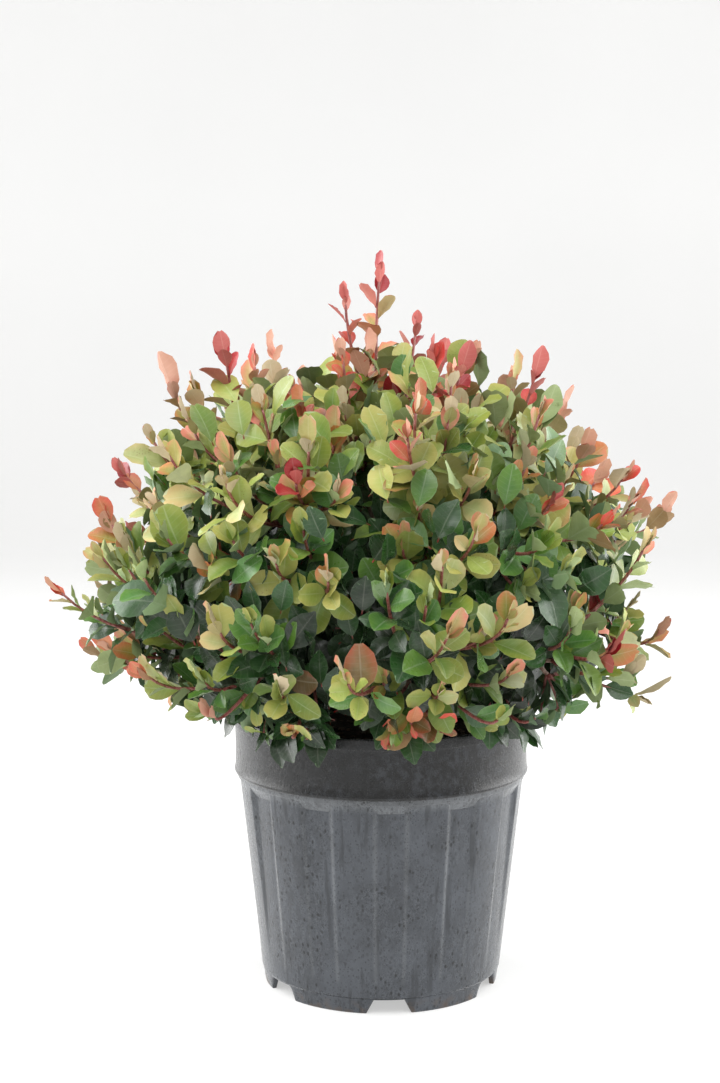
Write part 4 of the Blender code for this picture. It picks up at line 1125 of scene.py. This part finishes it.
def pot_sections(azimuth):
    """Rows of (radius, height) for every azimuth, from the floor's middle up, over the rim and down under.

    The wall's radius falls evenly with depth and steps in by the flute's depth, which fades towards the
    foot. The foot's lower edge rises in the notches, and the underside of the foot ring follows it.
    """
    rows = []

    def ring(radius, height):
        rows.append(np.broadcast_arrays(radius, height, azimuth)[:2])

    def arc(radius, height, size, turned, steps):
        """A part of a circle about a point of the profile, between two angles in degrees."""
        for angle in np.radians(np.linspace(*turned, steps)):
            ring(radius + size * math.cos(angle), height + size * math.sin(angle))

    inner_foot = wall_radius(FLOOR_TOP) - INNER_WALL_INSET
    for radius in (*FLOOR_RADII, inner_foot - INNER_BEVEL):
        ring(radius, FLOOR_TOP)
    ring(inner_foot, FLOOR_TOP + INNER_BEVEL)
    ring(wall_radius(WALL_TOP) - INNER_WALL_INSET, WALL_TOP - 0.001)
    ring(COLLAR_RADIUS - COLLAR_THICKNESS, COLLAR_BOTTOM + 0.003)
    inner_lip = RIM_RADIUS - LIP_WIDTH
    lip_bottom = POT_HEIGHT - LIP_HEIGHT
    ring(inner_lip - 0.0008, lip_bottom)
    arc(inner_lip + INNER_ROUND, POT_HEIGHT - INNER_ROUND, INNER_ROUND, (180.0, 90.0), 5)
    arc(RIM_RADIUS - OUTER_ROUND, POT_HEIGHT - OUTER_ROUND, OUTER_ROUND, (90.0, 0.0), 6)
    ring(RIM_RADIUS, lip_bottom + 0.0018)
    arc(RIM_RADIUS - LOWER_ROUND, lip_bottom + LOWER_ROUND, LOWER_ROUND, (0.0, -90.0), 4)
    ring(COLLAR_RADIUS + 0.0002, lip_bottom - 0.0004)
    ring(COLLAR_RADIUS, lip_bottom - 0.0012)
    for height in np.linspace(0.247, COLLAR_BOTTOM + 0.006, 7):
        share = (height - COLLAR_BOTTOM) / COLLAR_WAIST_LENGTH
        ring(COLLAR_RADIUS - COLLAR_WAIST * math.sin(math.pi * share), height)
    for angle in np.linspace(0.0, 0.5 * math.pi, 5):
        inward = COLLAR_TURN_IN * (1 - math.cos(angle))
        ring(COLLAR_RADIUS + 0.0006 - inward, COLLAR_BOTTOM + 0.003 - COLLAR_TURN_DOWN * math.sin(angle))
    flute = flute_share(azimuth)
    ledge = len(rows)
    for share in (0.0, 0.5, 1.0):
        drop = CHAMFER_SLOPE * FLUTE_DEPTH * flute * share + 0.001 * share
        inward = flute * FLUTE_DEPTH * share
        ring(WALL_TOP_RADIUS + 0.0012 * (1.0 - share) - inward, WALL_TOP - drop)
    for height in np.concatenate([[0.1915, 0.19], np.linspace(0.186, FLUTE_FADE, 26)]):
        depth = FLUTE_DEPTH * (height - FLUTE_FADE) / (WALL_TOP - FLUTE_FADE)
        ring(wall_radius(height) - depth * flute, height)
    ring(wall_radius(FOOT_HEIGHT + 0.004), FOOT_HEIGHT + 0.004)
    ring(wall_radius(FOOT_HEIGHT + 0.0006), FOOT_HEIGHT + 0.0006)
    ring(FOOT_BAND_RADIUS - 0.0004, FOOT_HEIGHT - 0.0002)
    ring(FOOT_BAND_RADIUS, FOOT_HEIGHT - 0.001)
    low = notch_rise(azimuth)
    for share in (0.75, 0.5, 0.25):
        radius = FOOT_RADIUS + share * (FOOT_BAND_RADIUS - FOOT_RADIUS)
        ring(radius, low + share * (FOOT_HEIGHT - 0.0014 - low))
    ring(FOOT_RADIUS, low + 0.0005)
    ring(FOOT_RADIUS - 0.0005, low)
    inside = FOOT_RADIUS - FOOT_RING_WIDTH
    ring(inside + 0.0004, low)
    ring(inside, low + 0.0004)
    ring(inside - 0.0006, FLOOR_UNDERSIDE - 0.0004)
    ring(inside - 0.0012, FLOOR_UNDERSIDE)
    for radius in FLOOR_RADII[::-1]:
        ring(radius, FLOOR_UNDERSIDE)
    return rows, ledge


def pot_finish():
    """Charcoal plastic under dust and wet: greyer wall, dark drops, curls, runs, dirt at the foot, and
    painted highlights on the edges.
    """
    plastic = Finish("charcoal_plastic")
    plastic.set(Specular_IOR_Level=0.4, Sheen_Weight=0.28, Sheen_Roughness=0.35)
    spot = plastic.node("ShaderNodeTexCoord")["Object"]
    height = plastic.node("ShaderNodeSeparateXYZ", Vector=spot)["Z"]
    on_wall = plastic.span(height, 0.204, 0.196)
    patch = plastic.span(plastic.noise(16.0, 4.0, 0.65), 0.4, 0.56)
    dry = plastic.span(plastic.noise(150.0, 6.0, 0.75, 0.8), 0.44, 0.58, 0.0, 0.34)
    dry = dry * plastic.span(patch, 0.0, 1.0, 1.0, 0.25)
    dust = plastic.span(plastic.noise(24.0, 6.0, 0.68, 0.7), 0.34, 0.62, 0.74, 1.0)
    dust = plastic.span(on_wall, 0.0, 1.0, dry, dust)
    film = plastic.span(plastic.noise(110.0, 8.0, 0.75, 0.6), 0.46, 0.58)
    runs = plastic.span(plastic.noise(95.0, 4.0, 0.6, 0.05), 0.56, 0.63)
    bend = plastic.noise(330.0, 2.0, 0.5, 0.8, 1.6)
    curls = plastic.span(abs(bend - 0.5), 0.034, 0.012) * patch
    marks = plastic.drops(240.0, 0.62, 0.36, 0.5)
    small = plastic.drops(430.0, 0.8, 0.34, 0.46)
    wet = plastic.most(
        marks * plastic.span(patch, 0.0, 1.0, 0.35, 1.0),
        small * 0.75,
        curls * 0.85,
        runs * on_wall * 0.55,
        film * plastic.span(patch, 0.0, 1.0, 0.05, 0.35),
    )
    # Painted highlight: a paler grey on the flute slopes and the ledge, standing for light caught there
    painted_highlight = plastic.node("ShaderNodeAttribute", {"attribute_name": "tone"})["Fac"]
    dirt = plastic.span(height, 0.013, 0.001) * plastic.span(plastic.noise(90.0, 4.0), 0.46, 0.66)
    shade = plastic.mix(dust, linear(9, 9, 10), linear(76, 80, 86))
    # Paler grey of the painted highlight
    shade = plastic.mix(painted_highlight * 0.8, shade, linear(112, 115, 118))
    shade = plastic.mix(wet * 0.85, shade, linear(14, 15, 16))
    shade = plastic.mix(dirt * 0.6, shade, linear(92, 70, 48))
    plastic.set(Base_Color=shade, Roughness=plastic.span(wet, 0.0, 1.0, 0.28, 0.14) + dirt * 0.35)
    plastic.bump(wet * 0.55 + plastic.noise(800.0) * 0.22, 0.45, 0.0005)
    return plastic.material


def build_pot():
    """The pot as one closed surface: its sections turned about the axis, and a painted highlight along its
    edges as a number.

    The painted highlight stands for light caught on the edges: the flute's share times what is left of it, so
    that it is greatest on the slope between flute and land, and a constant on the ledge under the collar.
    """
    azimuth = np.arange(POT_COLUMNS) * 2.0 * math.pi / POT_COLUMNS
    sections, ledge = pot_sections(azimuth)
    radius, height = np.moveaxis(np.array(sections), 1, 0)
    grid = np.stack([radius * np.cos(azimuth), radius * np.sin(azimuth), height], -1)
    points, quads, fans = capped_grid(grid, [0.0, 0.0, FLOOR_TOP], [0.0, 0.0, FLOOR_UNDERSIDE])
    # Painted highlight: paler on the flute slopes and the ledge, standing for light that they catch
    painted_highlight = np.zeros(radius.shape)
    flute = flute_share(azimuth)
    painted_highlight[ledge + 3:-FOOT_ROWS] = FLUTE_HIGHLIGHT * 4.0 * flute * (1.0 - flute)
    painted_highlight[ledge - 2:ledge + 3] = LEDGE_HIGHLIGHT
    painted_highlight = np.append(painted_highlight.reshape(-1), [0.0, 0.0])
    faces = [quads[:, ::-1], fans[:, [0, 2, 1]]]
    item = mesh_piece("nursery_pot", points, faces, [pot_finish()], tone=painted_highlight)
    item.data.set_sharp_from_angle(angle=math.radians(24.0))
    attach(item, "root")
    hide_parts("pot")


# Soil


def soil_finish():
    """Moist peat: dark and light grain with paler crumbs, both in relief."""
    peat = Finish("moist_peat")
    grain = peat.noise(240.0, 8.0, 0.7)
    crumbs = peat.cells(190.0)
    shade = peat.mix(peat.span(grain, 0.35, 0.68), linear(30, 22, 16), linear(84, 60, 42))
    shade = peat.mix(peat.span(crumbs, 0.16, 0.06), shade, linear(118, 90, 64))
    peat.set(Base_Color=shade, Roughness=peat.span(grain, 0.3, 0.7, 0.98, 0.8))
    peat.bump(grain + crumbs * 0.8, 0.9, 0.003)
    return peat.material


def build_soil(chance):
    """The peat keeps its solid and gets its finish, with bark chips lying on it as one joined piece.

    A chip is a box whose corners are each moved in or out, turned about the upright axis.
    """
    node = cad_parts["soil"]
    node.data.materials.clear()
    node.data.materials.append(soil_finish())
    around = chance.uniform(0.0, 2.0 * math.pi, CHIPS)
    flat = CHIP_REACH[0] + (CHIP_REACH[1] - CHIP_REACH[0]) * np.sqrt(chance.uniform(0.0, 1.0, CHIPS))
    size = chance.uniform(*CHIP_SIZES, (CHIPS, 3)) * CHIP_SHAPE
    level = SOIL_TOP - SOIL_FALL * np.clip((flat - 0.03) / 0.106, 0.0, 1.0)
    middle = np.stack([flat * np.cos(around), flat * np.sin(around), level + 0.3 * size[:, 2]], -1)
    box = np.array([[x, y, z] for z in (-0.5, 0.5) for y in (-0.5, 0.5) for x in (-0.5, 0.5)])
    corners = box[None] * size[:, None, :] * chance.uniform(0.7, 1.15, (CHIPS, 8, 1))
    turn = chance.uniform(0.0, 2.0 * math.pi, CHIPS)
    cos, sin = np.cos(turn)[:, None], np.sin(turn)[:, None]
    x = corners[..., 0] * cos - corners[..., 1] * sin
    y = corners[..., 0] * sin + corners[..., 1] * cos
    points = middle[:, None, :] + np.stack([x, y, corners[..., 2]], -1)
    sides = np.array([[0, 2, 3, 1], [4, 5, 7, 6], [0, 1, 5, 4], [2, 6, 7, 3], [0, 4, 6, 2], [1, 3, 7, 5]])
    faces = (sides[None] + (np.arange(CHIPS) * 8)[:, None, None]).reshape(-1, 4)
    chip = bark_finish("bark_chip", linear(112, 80, 54), 500.0, 0.85)
    item = mesh_piece("bark_chips", points, [faces], [chip], smooth=False)
    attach(item, "root")


# Stage, light and camera


def build_stage():
    """A pale floor turned about the middle, its profile flat, then a quarter round, then upright."""
    angle = np.linspace(0.0, 0.5 * math.pi, 20)
    end = FLOOR_FLAT + FLOOR_BEND
    radius = np.concatenate([[0.0001, 1.5], FLOOR_FLAT + FLOOR_BEND * np.sin(angle), [end]])
    height = np.concatenate([[0.0, 0.0], FLOOR_BEND - FLOOR_BEND * np.cos(angle), [FLOOR_WALL_TOP]])
    turn = np.arange(FLOOR_SIDES) * 2.0 * math.pi / FLOOR_SIDES
    x = radius[:, None] * np.cos(turn)
    y = radius[:, None] * np.sin(turn)
    z = np.repeat(height[:, None], FLOOR_SIDES, 1)
    paper = Finish("pale_paper")
    tone = paper.span(paper.noise(1.2, 2.0), 0.3, 0.7)
    shade = paper.mix(tone, (0.48, 0.48, 0.48, 1.0), (0.5, 0.5, 0.5, 1.0))
    glow = (1.0, 1.0, 0.99, 1.0)
    paper.set(Base_Color=shade, Roughness=0.9, Emission_Color=glow, Emission_Strength=PAPER_GLOW)
    faces = grid_faces(len(radius), FLOOR_SIDES, True)[:, ::-1]
    mesh_piece("floor_sweep", np.stack([x, y, z], -1), [faces], [paper.material])


def soft_light(name, place, aim, size, power):
    """An area lamp at a place, turned so that it shines along the line to its aim."""
    lamp = bpy.data.lights.new(name, "AREA")
    lamp.shape = "RECTANGLE"
    lamp.size, lamp.size_y = size
    lamp.energy = power
    item = bpy.data.objects.new(name, lamp)
    bpy.context.scene.collection.objects.link(item)
    item.location = place
    way = np.array(aim) - np.array(place)
    item.rotation_euler = (math.atan2(math.hypot(way[0], way[1]), -way[2]), 0.0, math.atan2(-way[0], way[1]))


def build_lights():
    """Three large soft lamps and a dim even sky."""
    soft_light("overhead", (-0.2, -0.9, 2.3), (0.0, 0.0, 0.35), (2.4, 1.8), 52.0)
    soft_light("left", (-2.1, 0.6, 1.0), (0.0, 0.0, 0.3), (2.6, 2.1), 74.0)
    soft_light("right", (2.1, 0.6, 1.0), (0.0, 0.0, 0.3), (2.6, 2.1), 72.0)
    world = bpy.data.worlds.new("studio")
    world.use_nodes = True
    sky = world.node_tree.nodes["Background"]
    sky.inputs["Color"].default_value = (1.0, 0.99, 0.97, 1.0)
    sky.inputs["Strength"].default_value = 0.25
    bpy.context.scene.world = world
    bpy.context.scene.view_settings.view_transform = "Standard"


def build_camera():
    """The photograph's own camera, as fitted to the ruler and the pot, its focal length taken in pixels."""
    camera = bpy.data.cameras.new("photo_camera")
    camera.sensor_width = 36.0
    camera.lens = FOCAL_PIXELS / PICTURE_PIXELS * camera.sensor_width
    item = bpy.data.objects.new("photo_camera", camera)
    bpy.context.scene.collection.objects.link(item)
    item.location = CAMERA_PLACE
    item.rotation_euler = (math.radians(90.0 - CAMERA_DIP), 0.0, 0.0)
    bpy.context.scene.camera = item


def main():
    """Camera, floor and lights, then the pot, the soil and the plant from its limbs to its leaves."""
    chance = np.random.default_rng(SEED)
    build_camera()
    build_stage()
    build_lights()
    build_pot()
    build_soil(chance)
    masses = make_masses()
    build_limbs(masses)
    leaves, red_wood, brown_wood = grow_crown(masses, chance)
    inner_leaves(leaves, chance)
    hanging_shoots(masses, leaves, red_wood, chance)
    build_twigs(red_wood, brown_wood, masses)
    build_leaves(leaves, masses, chance)


main()
